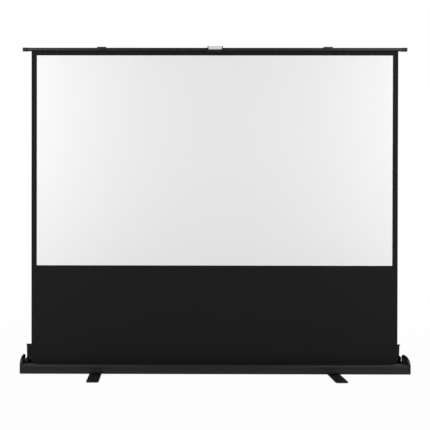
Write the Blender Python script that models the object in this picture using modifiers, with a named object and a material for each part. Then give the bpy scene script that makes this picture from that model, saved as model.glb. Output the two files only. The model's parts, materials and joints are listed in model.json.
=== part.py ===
"""Portable floor-standing projection screen, raised for use: a flat case on two swivel feet, a cloth
on a sprung roller inside it, and a top bar carried by two folding elbow arms behind the cloth.

Metres, +Z up, +X to the viewer's right, the picture facing -Y. The origin is on the floor under
the middle of the case. Each sub-part is its own object; moving pieces turn about their origins."""

import math

import bmesh
import bpy
from mathutils import Matrix, Vector

# Picture and cloth
PICTURE_WIDTH = 1.771
PICTURE_HEIGHT = 1.048
PICTURE_BASE_Z = 0.540
SIDE_BORDER = 0.027
TOP_BORDER = 0.0215
SHEET_THICKNESS = 0.0008
SHEET_Y = -0.002

# Clearances: between pieces that touch, and round pins in their bores
SEAT_GAP = 0.0003
BORE_GAP = 0.0003

# Case extrusion
CASE_SIDE_ROOM = 0.0355
ROLL_ROOM = 0.0179
ARM_ROOM = 0.0053
CASE_WALL = 0.002
CASE_CORNER = 0.007
CASE_FRONT_HEIGHT = 0.0442
SHOULDER_RUN = 0.016
SHOULDER_RISE = 0.006
LIP_DROP = 0.0045
REAR_WALL_HEIGHT = 0.0416
GROOVE_RISE = 0.020
GROOVE_HEIGHT = 0.006
GROOVE_DEPTH = 0.0008
PORT_RADIUS = 0.0034
PORT_INSET = 0.0050
PORT_OPENING = math.radians(35)

# Lid hinge: a bead along the rear wall in a claw along the lid
HINGE_INSET = 0.002
HINGE_RISE = 0.0046
BEAD_RADIUS = 0.0022
NECK_THICKNESS = 0.0014
CLAW_WALL = 0.0016
CLAW_START = math.radians(-68)
CLAW_SWEEP = math.radians(220)

# Lid, its profile measured when it is closed
LID_END_ROOM = 0.0049
LID_END_GAP = 0.0007
LID_WALL = 0.0016
LID_SKIRT = 0.021
LID_BROW_DEPTH = 0.012
LID_BROW_RISE = 0.0115
LID_FRONT_GAP = 0.002
LID_FALL = 0.0035
LID_LIP_DEPTH = 0.008
LID_LIP_FALL = 0.011
LID_CORNER = 0.004
LID_PLUG_THICKNESS = 0.003
LID_PLUG_WALL = 0.0034

# End caps
CAP_LENGTH = 0.0130
CAP_SKIN = 0.004
CAP_RIM = 0.003
CAP_HOOD = 0.0024
CAP_EDGE = 0.0025
CAP_CORNER = 0.007
CAP_RISE = 0.0817
CAP_PLATE = 0.003
CAP_PLUG_DEPTH = 0.0130
CAP_PLUG_CHAMFER = 0.0155
CAP_PRONG_GAP = 0.0008
CRADLE_GAP = 0.0006

# The cap's arched top from front to rear, as shares of its depth and rise, and of its depth again
# for the corner's radius
CAP_ARCH_SHARES = (
    (0.0, 0.595, 0.15),
    (0.15, 0.835, 0.20),
    (0.36, 0.951, 0.40),
    (0.72, 1.0, 0.60),
    (0.88, 0.976, 0.16),
    (1.0, 0.847, 0.08),
)
RIM_END_SHARE = 0.35
HOOD_END_SHARE = 0.80

# Roller and its spring motor
ROLLER_RISE = 0.0252
ROLLER_RADIUS = 0.0125
ROLLER_WALL = 0.0015
WOUND_THICKNESS = 0.0009
ROLLER_PLUG_LENGTH = 0.020
ROLLER_FLANGE = 0.002
ROLLER_PIN_RADIUS = 0.004
ROLLER_COLLAR_RADIUS = 0.0065
ROLLER_COLLAR_LENGTH = 0.0046
ARBOR_REACH = 0.135
MOTOR_WIRE_RADIUS = 0.001
MOTOR_COIL_RADIUS = 0.0075
MOTOR_PITCH = 0.006
MOTOR_TURNS = 16
MOTOR_STEPS = 8

# Feet
FOOT_LENGTH = 0.340
FOOT_WIDTH = 0.060
FOOT_THICKNESS = 0.006
FOOT_CORNER = 0.010
FOOT_EDGE = 0.002
FOOT_SPACING = 1.180
PAD_RADIUS = 0.011
PAD_THICKNESS = 0.0027
PAD_INSET = 0.026
PEG_RADIUS = 0.003
PEG_HEIGHT = 0.006
FOOT_BOLT_RADIUS = 0.004
FOOT_BOLT_HEAD = 0.009
FOOT_BOLT_HEAD_HEIGHT = 0.002
FOOT_NUT_RADIUS = 0.0075
FOOT_NUT_HEIGHT = 0.004
WASHER_THICKNESS = 0.0012
WASHER_RADIUS = 0.020

# Top bar
BAR_DEPTH = 0.020
BAR_HEIGHT = 0.015
BAR_WALL = 0.0015
BAR_CORNER = 0.003
BAR_SLOT = 0.0026
BAR_END_GAP = 0.0015
BAR_PLUG_LENGTH = 0.0275
BAR_PLUG_RADIUS = 0.010
BAR_PLUG_WAIST = 0.0008
BAR_PLUG_DOME = 0.002
BAR_TONGUE_LENGTH = 0.014
HEM_ROD_RADIUS = 0.003

# Folding arms
ARM_PIVOT_X = 0.562
ARM_WIDTH = 0.024
ARM_THICKNESS = 0.005
ARM_GAP = 0.0016
ARM_RAISED_ANGLE = math.radians(75)
FOLDED_RISE = 0.005
BASE_PIVOT_RISE = 0.0292
TOP_PIVOT_DROP = 0.025
CROSSING_GAP = 0.0046
PIN_RADIUS = 0.004
PIN_HEAD_RADIUS = 0.007
RIVET_HEAD = 0.0012
PIN_HEAD_HEIGHT = 0.0016
TOP_PIN_HEAD_HEIGHT = 0.0009
ELBOW_WASHER = 0.0010
ELBOW_WASHER_RADIUS = 0.010

# Brackets that carry the arms
BRACKET_THICKNESS = 0.003
SADDLE_WIDTH = 0.045
SADDLE_RISE = 0.0040
SADDLE_LIP = 0.010
SADDLE_CORNER = 0.0005
TONGUE_RADIUS = 0.012
WEB_RISE = 0.014
BASE_PLATE_WIDTH = 0.056
BASE_PLATE_SHOULDER = 0.014
BASE_PLATE_HEAD = 0.014
BASE_FLANGE_DEPTH = 0.016

# Lifting springs round the base pins
SPRING_WIRE_RADIUS = 0.00175
SPRING_PITCH = 0.0040
SPRING_WHOLE_TURNS = 3
SPRING_STEPS = 10
SPRING_ARM_LEG = 0.042
SPRING_HOOK_LEG = 0.010
SPRING_REST_LEG = 0.021
SPRING_BEND = 0.004

# Grip on the top bar
GRIP_LENGTH = 0.0664
GRIP_DEPTH = 0.0127
GRIP_HEIGHT = 0.0165
GRIP_CORNER = 0.0045
GRIP_RISE = 0.0053
HANDLE_PLATE = 0.0025
HANDLE_EAR = 0.004
HANDLE_DROP = 0.0055
HANDLE_EAR_REACH = 0.0145
HANDLE_EAR_HEIGHT = 0.020
HANDLE_EAR_CORNER = 0.004

# Carrying bail on the rear wall
BAIL_SPAN = 0.120
BAIL_DROP = 0.024
BAIL_RADIUS = 0.0035
BAIL_CORNER = 0.009
BAIL_PIVOT_RISE = 0.029
BAIL_PIVOT_REACH = 0.0065
BAIL_EAR_WIDTH = 0.009
BAIL_EAR_RADIUS = 0.006

# End cap screws
SCREW_RADIUS = 0.0016
SCREW_HEAD_RADIUS = 0.0036
SCREW_HEAD_HEIGHT = 0.002
SCREW_LENGTH = 0.024

# How round things are faceted, and the overruns of cutters and welded joints. The screw holes' count
# puts no point of a hole on the line where the cap's walls meet
ROUND_STEPS = 24
SMALL_STEPS = 16
SCREW_HOLE_STEPS = 18
CORNER_STEPS = 4
MERGE_DISTANCE = 0.00001
CUT_OVERRUN = 0.002
JOIN_OVERLAP = 0.0005
JOIN_STEP = 0.0001
SMOOTH_ANGLE = math.radians(35)
QUARTER_TURN = math.radians(90)

# Heights worked out from the floor upwards
FOOT_BASE_Z = PAD_THICKNESS + SEAT_GAP
FOOT_TOP_Z = FOOT_BASE_Z + FOOT_THICKNESS
CASE_BASE_Z = FOOT_TOP_Z + SEAT_GAP + WASHER_THICKNESS + SEAT_GAP
CASE_FLOOR_Z = CASE_BASE_Z + CASE_WALL
BASE_PIVOT_Z = CASE_BASE_Z + BASE_PIVOT_RISE
ROLLER_Z = CASE_BASE_Z + ROLLER_RISE
REAR_WALL_TOP = CASE_BASE_Z + REAR_WALL_HEIGHT
HINGE_Z = REAR_WALL_TOP + HINGE_RISE
BAR_BASE_Z = PICTURE_BASE_Z + PICTURE_HEIGHT + TOP_BORDER
BAR_Z = BAR_BASE_Z + BAR_HEIGHT / 2
BAR_TOP_Z = BAR_BASE_Z + BAR_HEIGHT
TOP_PIVOT_Z = BAR_Z - TOP_PIVOT_DROP

# Places across the depth
BAR_Y = SHEET_Y
BAR_FRONT_Y = BAR_Y - BAR_DEPTH / 2
BAR_REAR_Y = BAR_Y + BAR_DEPTH / 2
WOUND_RADIUS = ROLLER_RADIUS + SEAT_GAP + WOUND_THICKNESS
ROLLER_Y = SHEET_Y - SHEET_THICKNESS / 2 - SEAT_GAP - WOUND_RADIUS

# Depth layers of the left arms; the right arms are the same set turned half round
TONGUE_Y = BAR_REAR_Y + SEAT_GAP
UPPER_ARM_Y = TONGUE_Y + BRACKET_THICKNESS + SEAT_GAP
LOWER_ARM_Y = UPPER_ARM_Y + ARM_THICKNESS + ARM_GAP
LOWER_ARM_BACK_Y = LOWER_ARM_Y + ARM_THICKNESS
BASE_PLATE_Y = LOWER_ARM_BACK_Y + SEAT_GAP
BASE_PLATE_BACK_Y = BASE_PLATE_Y + BRACKET_THICKNESS
STACK_MID_Y = LOWER_ARM_BACK_Y + CROSSING_GAP / 2
REAR_TONGUE_Y = 2 * STACK_MID_Y - TONGUE_Y

# The case's front wall stands clear of the full roll, its rear wall clear of the rearmost bracket
CASE_FRONT_Y = ROLLER_Y - WOUND_RADIUS - ROLL_ROOM - CASE_WALL
CASE_REAR_Y = REAR_TONGUE_Y + ARM_ROOM + CASE_WALL
HINGE_Y = CASE_REAR_Y - HINGE_INSET
LID_DEPTH = HINGE_Y - CASE_FRONT_Y - SHOULDER_RUN - LID_LIP_DEPTH - LID_FRONT_GAP

# The arms' triangle
ARM_RISE = TOP_PIVOT_Z - BASE_PIVOT_Z
ARM_LENGTH = ARM_RISE / (2 * math.sin(ARM_RAISED_ANGLE))
ELBOW_X = -ARM_PIVOT_X + ARM_LENGTH * math.cos(ARM_RAISED_ANGLE)
ELBOW_Z = BASE_PIVOT_Z + ARM_LENGTH * math.sin(ARM_RAISED_ANGLE)
FOLDED_BAR_Z = BASE_PIVOT_Z + FOLDED_RISE + TOP_PIVOT_DROP

# Half lengths: the cloth sets the case, and the case sets the caps, lid, roller and bar
SHEET_HALF = PICTURE_WIDTH / 2 + SIDE_BORDER
CASE_HALF = SHEET_HALF + CASE_SIDE_ROOM
CAP_OUTER_X = CASE_HALF + CAP_LENGTH
CAP_SKIN_X = CAP_OUTER_X - CAP_SKIN
CAP_INNER_X = CASE_HALF - CAP_PLUG_DEPTH
CAP_PLATE_X = CAP_INNER_X - CAP_PLATE + JOIN_OVERLAP
LID_END_X = CAP_SKIN_X - LID_END_ROOM
LID_HALF = LID_END_X - LID_PLUG_THICKNESS - SEAT_GAP
ROLLER_HALF = CAP_PLATE_X - ROLLER_COLLAR_LENGTH - ROLLER_FLANGE - 3 * SEAT_GAP
BAR_HALF = CAP_SKIN_X - BAR_END_GAP - BAR_PLUG_LENGTH

# Colours, roughness and metal of each material: red, green, blue, roughness, metallic
FINISHES = {
    "black_coated_aluminium": (0.020, 0.020, 0.021, 0.42, 0.3),
    "black_moulded_plastic": (0.012, 0.012, 0.013, 0.5, 0.0),
    "black_coated_steel": (0.016, 0.016, 0.017, 0.45, 0.4),
    "bright_steel": (0.55, 0.56, 0.57, 0.3, 1.0),
    "spring_steel": (0.25, 0.25, 0.26, 0.35, 1.0),
    "silver_plastic": (0.72, 0.73, 0.74, 0.35, 0.2),
    "white_nylon": (0.75, 0.75, 0.73, 0.5, 0.0),
    "black_rubber": (0.010, 0.010, 0.010, 0.8, 0.0),
    "raw_aluminium": (0.60, 0.61, 0.62, 0.35, 1.0),
    "screen_cloth": (0.80, 0.80, 0.80, 0.85, 0.0),
    "black_cloth": (0.014, 0.014, 0.014, 0.85, 0.0),
}

# Mesh axes as columns, so that an outline's two coordinates and its thickness lie as named
OUTLINE_AXES = {
    "X": Matrix(((0, 0, 1), (1, 0, 0), (0, 1, 0))),
    "Y": Matrix(((1, 0, 0), (0, 0, -1), (0, 1, 0))),
    "Z": Matrix.Identity(3),
}
TURNED_ROTATION = {
    "X": (0, QUARTER_TURN, 0),
    "Y": (-QUARTER_TURN, 0, 0),
    "Z": (0, 0, 0),
}


def clear_scene():
    for obj in list(bpy.data.objects):
        bpy.data.objects.remove(obj)


def make_collection(name):
    collection = bpy.data.collections.new(name)
    bpy.context.scene.collection.children.link(collection)
    return collection


def make_material(name):
    """The material for a finish, made once and then shared."""
    if name in bpy.data.materials:
        return bpy.data.materials[name]
    red, green, blue, roughness, metallic = FINISHES[name]
    material = bpy.data.materials.new(name)
    material.use_nodes = True
    shader = material.node_tree.nodes["Principled BSDF"]
    shader.inputs["Base Color"].default_value = (red, green, blue, 1)
    shader.inputs["Roughness"].default_value = roughness
    shader.inputs["Metallic"].default_value = metallic
    material.diffuse_color = (red, green, blue, 1)
    return material


clear_scene()
PARTS = make_collection("portable_projection_screen")
CUTTERS = make_collection("cutters")


def place(name, data, finish, origin=(0, 0, 0), rotation=(0, 0, 0), parent=None):
    """Adds an object for a sub-part, its origin at the given point of its parent's space."""
    obj = bpy.data.objects.new(name, data)
    if finish is None:
        CUTTERS.objects.link(obj)
        obj.hide_render = True
        obj.display_type = "WIRE"
    else:
        PARTS.objects.link(obj)
        data.materials.append(make_material(finish))
    obj.location = origin
    obj.rotation_euler = rotation
    obj.parent = parent
    return obj


def make_empty(name, origin=(0, 0, 0), rotation=(0, 0, 0), parent=None):
    empty = bpy.data.objects.new(name, None)
    PARTS.objects.link(empty)
    empty.location = origin
    empty.rotation_euler = rotation
    empty.parent = parent
    return empty


def smooth(mesh):
    mesh.shade_smooth()
    mesh.set_sharp_from_angle(angle=SMOOTH_ANGLE)


def arc(centre, radius, start, end, steps):
    """Points on a circle in an outline, from one angle to the other, both ends included."""
    return [
        (
            centre[0] + radius * math.cos(start + (end - start) * step / steps),
            centre[1] + radius * math.sin(start + (end - start) * step / steps),
        )
        for step in range(steps + 1)
    ]


def circle(centre, radius, steps=ROUND_STEPS):
    return arc(centre, radius, 0, 2 * math.pi, steps)[:-1]


def rounded(corners, closed=True):
    """An outline from (u, v, radius) corners, each corner with a radius turned into an arc."""
    outline = []
    count = len(corners)
    for index, (u, v, radius) in enumerate(corners):
        here = Vector((u, v))
        if not radius or (not closed and index in (0, count - 1)):
            outline.append((u, v))
            continue
        back = (Vector(corners[index - 1][:2]) - here).normalized()
        ahead = (Vector(corners[(index + 1) % count][:2]) - here).normalized()
        half = back.angle(ahead) / 2
        centre = here + (back + ahead).normalized() * radius / math.sin(half)
        first = here + back * radius / math.tan(half) - centre
        last = here + ahead * radius / math.tan(half) - centre
        start = math.atan2(first.y, first.x)
        sweep = math.remainder(math.atan2(last.y, last.x) - start, 2 * math.pi)
        outline += arc(centre, radius, start, start + sweep, CORNER_STEPS)
    return outline


def offset_path(path, distance):
    """The path moved sideways to the left of its own direction, with mitred corners."""
    points = [Vector(point) for point in path]
    moved = []
    for index, point in enumerate(points):
        before = point - points[index - 1] if index else points[1] - point
        after = points[index + 1] - point if index + 1 < len(points) else before
        before, after = before.normalized(), after.normalized()
        normal = Vector((-before.y - after.y, before.x + after.x)).normalized()
        reach = distance / normal.dot(Vector((-before.y, before.x)))
        moved.append(tuple(point + normal * reach))
    return moved


def prism(name, loops, axis, low, high, finish, origin=(0, 0, 0), rotation=(0, 0, 0), parent=None):
    """A flat outline with its holes, thickened along an axis: a filled 2D curve made a mesh."""
    curve = bpy.data.curves.new(name, "CURVE")
    curve.dimensions = "2D"
    curve.fill_mode = "BOTH"
    curve.extrude = (high - low) / 2
    for loop in loops:
        spline = curve.splines.new("POLY")
        spline.points.add(len(loop) - 1)
        for point, (u, v) in zip(spline.points, loop):
            point.co = (u, v, 0, 1)
        spline.use_cyclic_u = True
    guide = bpy.data.objects.new(name + "_outline", curve)
    CUTTERS.objects.link(guide)
    guide.hide_render = True
    bpy.context.view_layer.update()
    graph = bpy.context.evaluated_depsgraph_get()
    mesh = bpy.data.meshes.new_from_object(guide.evaluated_get(graph))
    bpy.data.objects.remove(guide)
    bpy.data.curves.remove(curve)
    mesh.name = name
    shift = Matrix.Translation(Vector((0, 0, 1)) * (low + high) / 2)
    turn = OUTLINE_AXES[axis].to_4x4()
    if axis == "Y":
        shift = Matrix.Translation(Vector((0, 0, -1)) * (low + high) / 2)
    mesh.transform(turn @ shift)
    edit = bmesh.new()
    edit.from_mesh(mesh)
    bmesh.ops.remove_doubles(edit, verts=edit.verts, dist=MERGE_DISTANCE)
    bmesh.ops.recalc_face_normals(edit, faces=edit.faces)
    edit.to_mesh(mesh)
    edit.free()
    smooth(mesh)
    return place(name, mesh, finish, origin, rotation, parent)


def block(name, low, high, finish, origin=(0, 0, 0), rotation=(0, 0, 0), parent=None):
    """A box between two corners."""
    mesh = bpy.data.meshes.new(name)
    edit = bmesh.new()
    bmesh.ops.create_cube(edit, size=1)
    size = Vector(high) - Vector(low)
    middle = (Vector(high) + Vector(low)) / 2
    bmesh.ops.scale(edit, vec=size, verts=edit.verts)
    bmesh.ops.translate(edit, vec=middle, verts=edit.verts)
    edit.to_mesh(mesh)
    edit.free()
    return place(name, mesh, finish, origin, rotation, parent)


def turned(name, profile, axis, finish, origin, parent=None, closed=False, steps=ROUND_STEPS):
    """A shape turned about an axis from (radius, distance along it) points, top to bottom."""
    mesh = bpy.data.meshes.new(name)
    points = [(radius, 0, along) for radius, along in profile]
    edges = [(index, index + 1) for index in range(len(points) - 1)]
    if closed:
        edges.append((len(points) - 1, 0))
    mesh.from_pydata(points, edges, [])
    obj = place(name, mesh, finish, origin, TURNED_ROTATION[axis], parent)
    screw = obj.modifiers.new("turn", "SCREW")
    screw.steps = steps
    screw.render_steps = steps
    screw.use_merge_vertices = True
    screw.merge_threshold = MERGE_DISTANCE
    screw.use_smooth_shade = False
    return obj


def tube(name, points, radius, finish, origin=(0, 0, 0), parent=None, resolution=1):
    """A round wire or tube along a line of points."""
    curve = bpy.data.curves.new(name, "CURVE")
    curve.dimensions = "3D"
    curve.bevel_depth = radius
    curve.bevel_resolution = resolution
    curve.use_fill_caps = True
    spline = curve.splines.new("POLY")
    spline.points.add(len(points) - 1)
    for point, place_at in zip(spline.points, points):
        point.co = (*place_at, 1)
    return place(name, curve, finish, origin, (0, 0, 0), parent)


def boolean(obj, other, operation):
    modifier = obj.modifiers.new(operation.lower() + "_" + other.name, "BOOLEAN")
    modifier.operation = operation
    modifier.object = other
    modifier.solver = "EXACT"


def cylinder_cutter(name, radius, low, high, axis, centre, parent=None, steps=ROUND_STEPS):
    profile = [(0, high), (radius, high), (radius, low), (0, low)]
    return turned(name, profile, axis, None, centre, parent, steps=steps)


def soften_edges(obj, chosen, width, segments=2):
    """Rounds the edges of a mesh whose two ends both pass a test."""
    edit = bmesh.new()
    edit.from_mesh(obj.data)
    bmesh.ops.dissolve_limit(
        edit, angle_limit=math.radians(1), verts=edit.verts, edges=edit.edges
    )
    edges = [edge for edge in edit.edges if all(chosen(vert.co) for vert in edge.verts)]
    bmesh.ops.bevel(
        edit, geom=edges, offset=width, segments=segments, profile=0.5, affect="EDGES"
    )
    bmesh.ops.triangulate(edit, faces=edit.faces)
    bmesh.ops.recalc_face_normals(edit, faces=edit.faces)
    edit.to_mesh(obj.data)
    edit.free()
    smooth(obj.data)


def case_corners():
    """The case's outer side in (y, z, radius), from the lip over the front and floor to the rear."""
    front, rear, base = CASE_FRONT_Y, CASE_REAR_Y, CASE_BASE_Z
    shoulder = base + CASE_FRONT_HEIGHT
    groove = base + GROOVE_RISE
    lip_y = front + SHOULDER_RUN
    lip_z = shoulder + SHOULDER_RISE
    return [
        (lip_y, lip_z - LIP_DROP, 0),
        (lip_y, lip_z, 0),
        (front, shoulder, 0),
        (front, groove + GROOVE_HEIGHT, 0),
        (front + GROOVE_DEPTH, groove + GROOVE_HEIGHT - GROOVE_DEPTH, 0),
        (front + GROOVE_DEPTH, groove + GROOVE_DEPTH, 0),
        (front, groove, 0),
        (front, base, CASE_CORNER),
        (rear, base, CASE_CORNER),
        (rear, REAR_WALL_TOP, 0),
    ]


def port_centre():
    """The front screw port's centre in (y, z); the rear one mirrors it."""
    return (CASE_FRONT_Y + PORT_INSET, CASE_BASE_Z + PORT_INSET)


def port_outline():
    """The open screw port in the case's lower front corner, from the wall round to the floor."""
    centre = port_centre()
    reach = PORT_INSET - CASE_WALL
    wall_angle = math.pi - math.acos(reach / PORT_RADIUS)
    floor_angle = -math.asin(reach / PORT_RADIUS)
    high = QUARTER_TURN / 2 + PORT_OPENING
    low = QUARTER_TURN / 2 - PORT_OPENING
    bore = SCREW_RADIUS + BORE_GAP
    outline = arc(centre, PORT_RADIUS, wall_angle, high, CORNER_STEPS)
    outline += arc(centre, bore, high, low + 2 * math.pi, SMALL_STEPS)
    outline += arc(centre, PORT_RADIUS, low, floor_angle, CORNER_STEPS)
    return outline


def case_inside():
    """The case's inner side, with a screw port in place of each lower corner."""
    corners = case_corners()
    inner = offset_path([corner[:2] for corner in corners], CASE_WALL)
    front_port = port_outline()
    rear_port = [(CASE_FRONT_Y + CASE_REAR_Y - y, z) for y, z in front_port[::-1]]
    return inner[:-3] + front_port + rear_port + inner[-1:]


def bead_outline():
    """The hinge bead on its neck, from the outer side of the rear wall round to the inner one."""
    centre = (HINGE_Y, HINGE_Z)
    half = math.asin(NECK_THICKNESS / 2 / BEAD_RADIUS)
    around = arc(centre, BEAD_RADIUS, half - QUARTER_TURN, 3 * QUARTER_TURN - half, SMALL_STEPS)
    return [
        (HINGE_Y + NECK_THICKNESS / 2, REAR_WALL_TOP),
        *around,
        (HINGE_Y - NECK_THICKNESS / 2, REAR_WALL_TOP + NECK_THICKNESS / 2),
    ]


def port_centres():
    """The screw ports in the case's two lower corners, in (y, z)."""
    front_y, height = port_centre()
    return [(front_y, height), (CASE_FRONT_Y + CASE_REAR_Y - front_y, height)]


def build_case():
    """The extruded case: floor, grooved front wall, sloped lip, rear wall with its hinge bead."""
    outline = rounded(case_corners(), closed=False) + bead_outline() + case_inside()[::-1]
    case = prism("case_body", [outline], "X", -CASE_HALF, CASE_HALF, "black_coated_aluminium")
    for label, side in (("left", -1), ("right", 1)):
        hole = cylinder_cutter(
            f"foot_hole_{label}",
            FOOT_BOLT_RADIUS + BORE_GAP,
            -CASE_WALL - CUT_OVERRUN,
            CASE_WALL + CUT_OVERRUN,
            "Z",
            (side * FOOT_SPACING / 2, 0, CASE_BASE_Z + CASE_WALL / 2),
            steps=SMALL_STEPS,
        )
        boolean(case, hole, "DIFFERENCE")
    return case


def cap_arch():
    """The corners of the end cap's arched top in (y, z, radius), from front to rear."""
    depth = CASE_REAR_Y - CASE_FRONT_Y
    return [
        (CASE_FRONT_Y + depth * run_share, CASE_BASE_Z + CAP_RISE * rise_share, depth * bend_share)
        for run_share, rise_share, bend_share in CAP_ARCH_SHARES
    ]


def cap_outline():
    """The end cap's silhouette in (y, z)."""
    base = [(CASE_FRONT_Y, CASE_BASE_Z, CAP_CORNER), (CASE_REAR_Y, CASE_BASE_Z, CAP_CORNER)]
    return base + cap_arch()[::-1]


def between(near, far, share):
    """The place at a share of the way from one outline corner to another, as a sharp end."""
    return (near[0] + (far[0] - near[0]) * share, near[1] + (far[1] - near[1]) * share, 0)


def cap_rim_path():
    """The wall round the cap's pocket, from its front slope under the case to the rear wall's top."""
    knee, brow, crown = cap_arch()[:3]
    front_low, rear_low = cap_outline()[:2]
    start = between(brow, crown, RIM_END_SHARE)
    end = (CASE_REAR_Y, REAR_WALL_TOP, 0)
    path = rounded([start, brow, knee, front_low, rear_low, end], closed=False)
    return offset_path(path, JOIN_STEP)


def cap_hood_path():
    """The narrow wall that carries the rim on past the lid's end, up and over the rear corner."""
    crown, rear_top = cap_arch()[-2:]
    start = (CASE_REAR_Y, REAR_WALL_TOP - JOIN_OVERLAP, 0)
    end = between(rear_top, crown, HOOD_END_SHARE)
    return offset_path(rounded([start, rear_top, end], closed=False), 2 * JOIN_STEP)


def cap_plate_loops():
    """The cap's inner plate: it fills the case's end, holds the roller's pin and cradles the bar."""
    inset = CASE_WALL + SEAT_GAP
    front = CASE_FRONT_Y + GROOVE_DEPTH + inset
    rear = CASE_REAR_Y - inset
    base = CASE_BASE_Z + inset
    lip = CASE_FRONT_Y + SHOULDER_RUN + inset
    shoulder = CASE_BASE_Z + CASE_FRONT_HEIGHT - inset
    slot_radius = BAR_PLUG_RADIUS + CRADLE_GAP
    slot_left, slot_right = BAR_Y - slot_radius, BAR_Y + slot_radius
    prong_rear = HINGE_Y - BEAD_RADIUS - CLAW_WALL - CUT_OVERRUN
    brow_y, panel_y = HINGE_Y - LID_BROW_DEPTH, HINGE_Y - LID_DEPTH
    brow_top = HINGE_Z + LID_SKIRT + LID_BROW_RISE - LID_WALL - CAP_PRONG_GAP
    rear_fall = LID_BROW_RISE * (prong_rear - brow_y) / LID_BROW_DEPTH + CAP_PRONG_GAP

    def top_at(y):
        """The prongs' tops follow the inside of the closed lid."""
        return brow_top - LID_FALL * (brow_y - y) / (brow_y - panel_y)

    cradle = arc((BAR_Y, FOLDED_BAR_Z), slot_radius, 2 * math.pi, math.pi, SMALL_STEPS)
    wall_top = REAR_WALL_TOP - inset
    outline = [
        (front, base + CAP_PLUG_CHAMFER),
        (front + CAP_PLUG_CHAMFER, base),
        (rear - CAP_PLUG_CHAMFER, base),
        (rear, base + CAP_PLUG_CHAMFER),
        (rear, wall_top),
        (prong_rear, wall_top),
        (prong_rear, brow_top - rear_fall),
        (brow_y, brow_top),
        (slot_right, top_at(slot_right)),
        *cradle,
        (slot_left, top_at(slot_left)),
        (panel_y + LID_WALL, top_at(panel_y)),
        (lip, top_at(panel_y) - LID_LIP_FALL),
        (lip, shoulder),
        (front, shoulder),
    ]
    pin_hole = circle((ROLLER_Y, ROLLER_Z), ROLLER_PIN_RADIUS + BORE_GAP)
    return [outline, pin_hole]


def cap_plug_path():
    """The wall of the cap's plug inside the case, clear of the screw ports."""
    inset = CASE_WALL + SEAT_GAP + JOIN_STEP
    front = CASE_FRONT_Y + GROOVE_DEPTH + inset
    rear = CASE_REAR_Y - inset
    base = CASE_BASE_Z + inset
    return [
        (front, CASE_BASE_Z + CASE_FRONT_HEIGHT - inset - JOIN_OVERLAP),
        (front, base + CAP_PLUG_CHAMFER),
        (front + CAP_PLUG_CHAMFER, base),
        (rear - CAP_PLUG_CHAMFER, base),
        (rear, base + CAP_PLUG_CHAMFER),
        (rear, REAR_WALL_TOP - inset - JOIN_OVERLAP),
    ]


def band(path, thickness):
    return path + offset_path(path, thickness)[::-1]


def span(side, near, far):
    """The low and high ends of a stretch that lies on one side of the middle."""
    return (near, far) if side > 0 else (-far, -near)


def build_end_cap(label, side):
    """A moulded end cap: outer skin, pocket rim, plug inside the case and the slotted inner plate."""
    finish = "black_moulded_plastic"
    cap = prism(
        f"end_cap_{label}",
        [rounded(cap_outline())],
        "X",
        *span(side, CAP_SKIN_X, CAP_OUTER_X),
        finish,
    )
    outer = side * CAP_OUTER_X
    soften_edges(cap, lambda point: abs(point.x - outer) < MERGE_DISTANCE, CAP_EDGE)
    skin = CAP_SKIN_X + JOIN_OVERLAP
    pieces = [
        ("rim", [band(cap_rim_path(), CAP_RIM)], CASE_HALF + SEAT_GAP, skin),
        ("hood", [band(cap_hood_path(), CAP_HOOD)], LID_END_X + LID_END_GAP, skin),
        ("plug", [band(cap_plug_path(), CAP_RIM)], CAP_INNER_X, skin),
        ("plate", cap_plate_loops(), CAP_PLATE_X, CAP_PLATE_X + CAP_PLATE),
    ]
    for what, loops, near, far in pieces:
        piece = prism(f"cap_{what}_{label}", loops, "X", *span(side, near, far), None)
        boolean(cap, piece, "UNION")
    for index, (port_y, port_z) in enumerate(port_centres()):
        head = SCREW_HEAD_RADIUS + BORE_GAP
        shank = SCREW_RADIUS + BORE_GAP
        step = CAP_OUTER_X - SCREW_HEAD_HEIGHT - SEAT_GAP
        profile = [
            (0, CAP_OUTER_X + CUT_OVERRUN),
            (head, CAP_OUTER_X + CUT_OVERRUN),
            (head, step),
            (shank, step),
            (shank, CASE_HALF - CUT_OVERRUN),
            (0, CASE_HALF - CUT_OVERRUN),
        ]
        if side < 0:
            profile = [(radius, -along) for radius, along in profile[::-1]]
        cutter = turned(
            f"screw_hole_{label}_{index}",
            profile,
            "X",
            None,
            (0, port_y, port_z),
            steps=SCREW_HOLE_STEPS,
        )
        boolean(cap, cutter, "DIFFERENCE")
        build_cap_screw(f"end_cap_screw_{label}_{index + 1}", side, port_y, port_z)
    return cap


def build_cap_screw(name, side, port_y, port_z):
    """A pan-head screw, sunk in the cap and driven into a port of the case."""
    head_base = CAP_OUTER_X - SCREW_HEAD_HEIGHT
    tip = head_base - SCREW_LENGTH
    profile = [
        (0, CAP_OUTER_X),
        (SCREW_HEAD_RADIUS, CAP_OUTER_X),
        (SCREW_HEAD_RADIUS, head_base),
        (SCREW_RADIUS, head_base),
        (SCREW_RADIUS, tip),
        (0, tip),
    ]
    if side < 0:
        profile = [(radius, -along) for radius, along in profile[::-1]]
    turned(name, profile, "X", "bright_steel", (0, port_y, port_z), steps=SMALL_STEPS)


def opened(closed_y, closed_z):
    """A point of the closed lid, measured from the hinge, swung open by a quarter turn."""
    return (closed_z, -closed_y)


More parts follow.
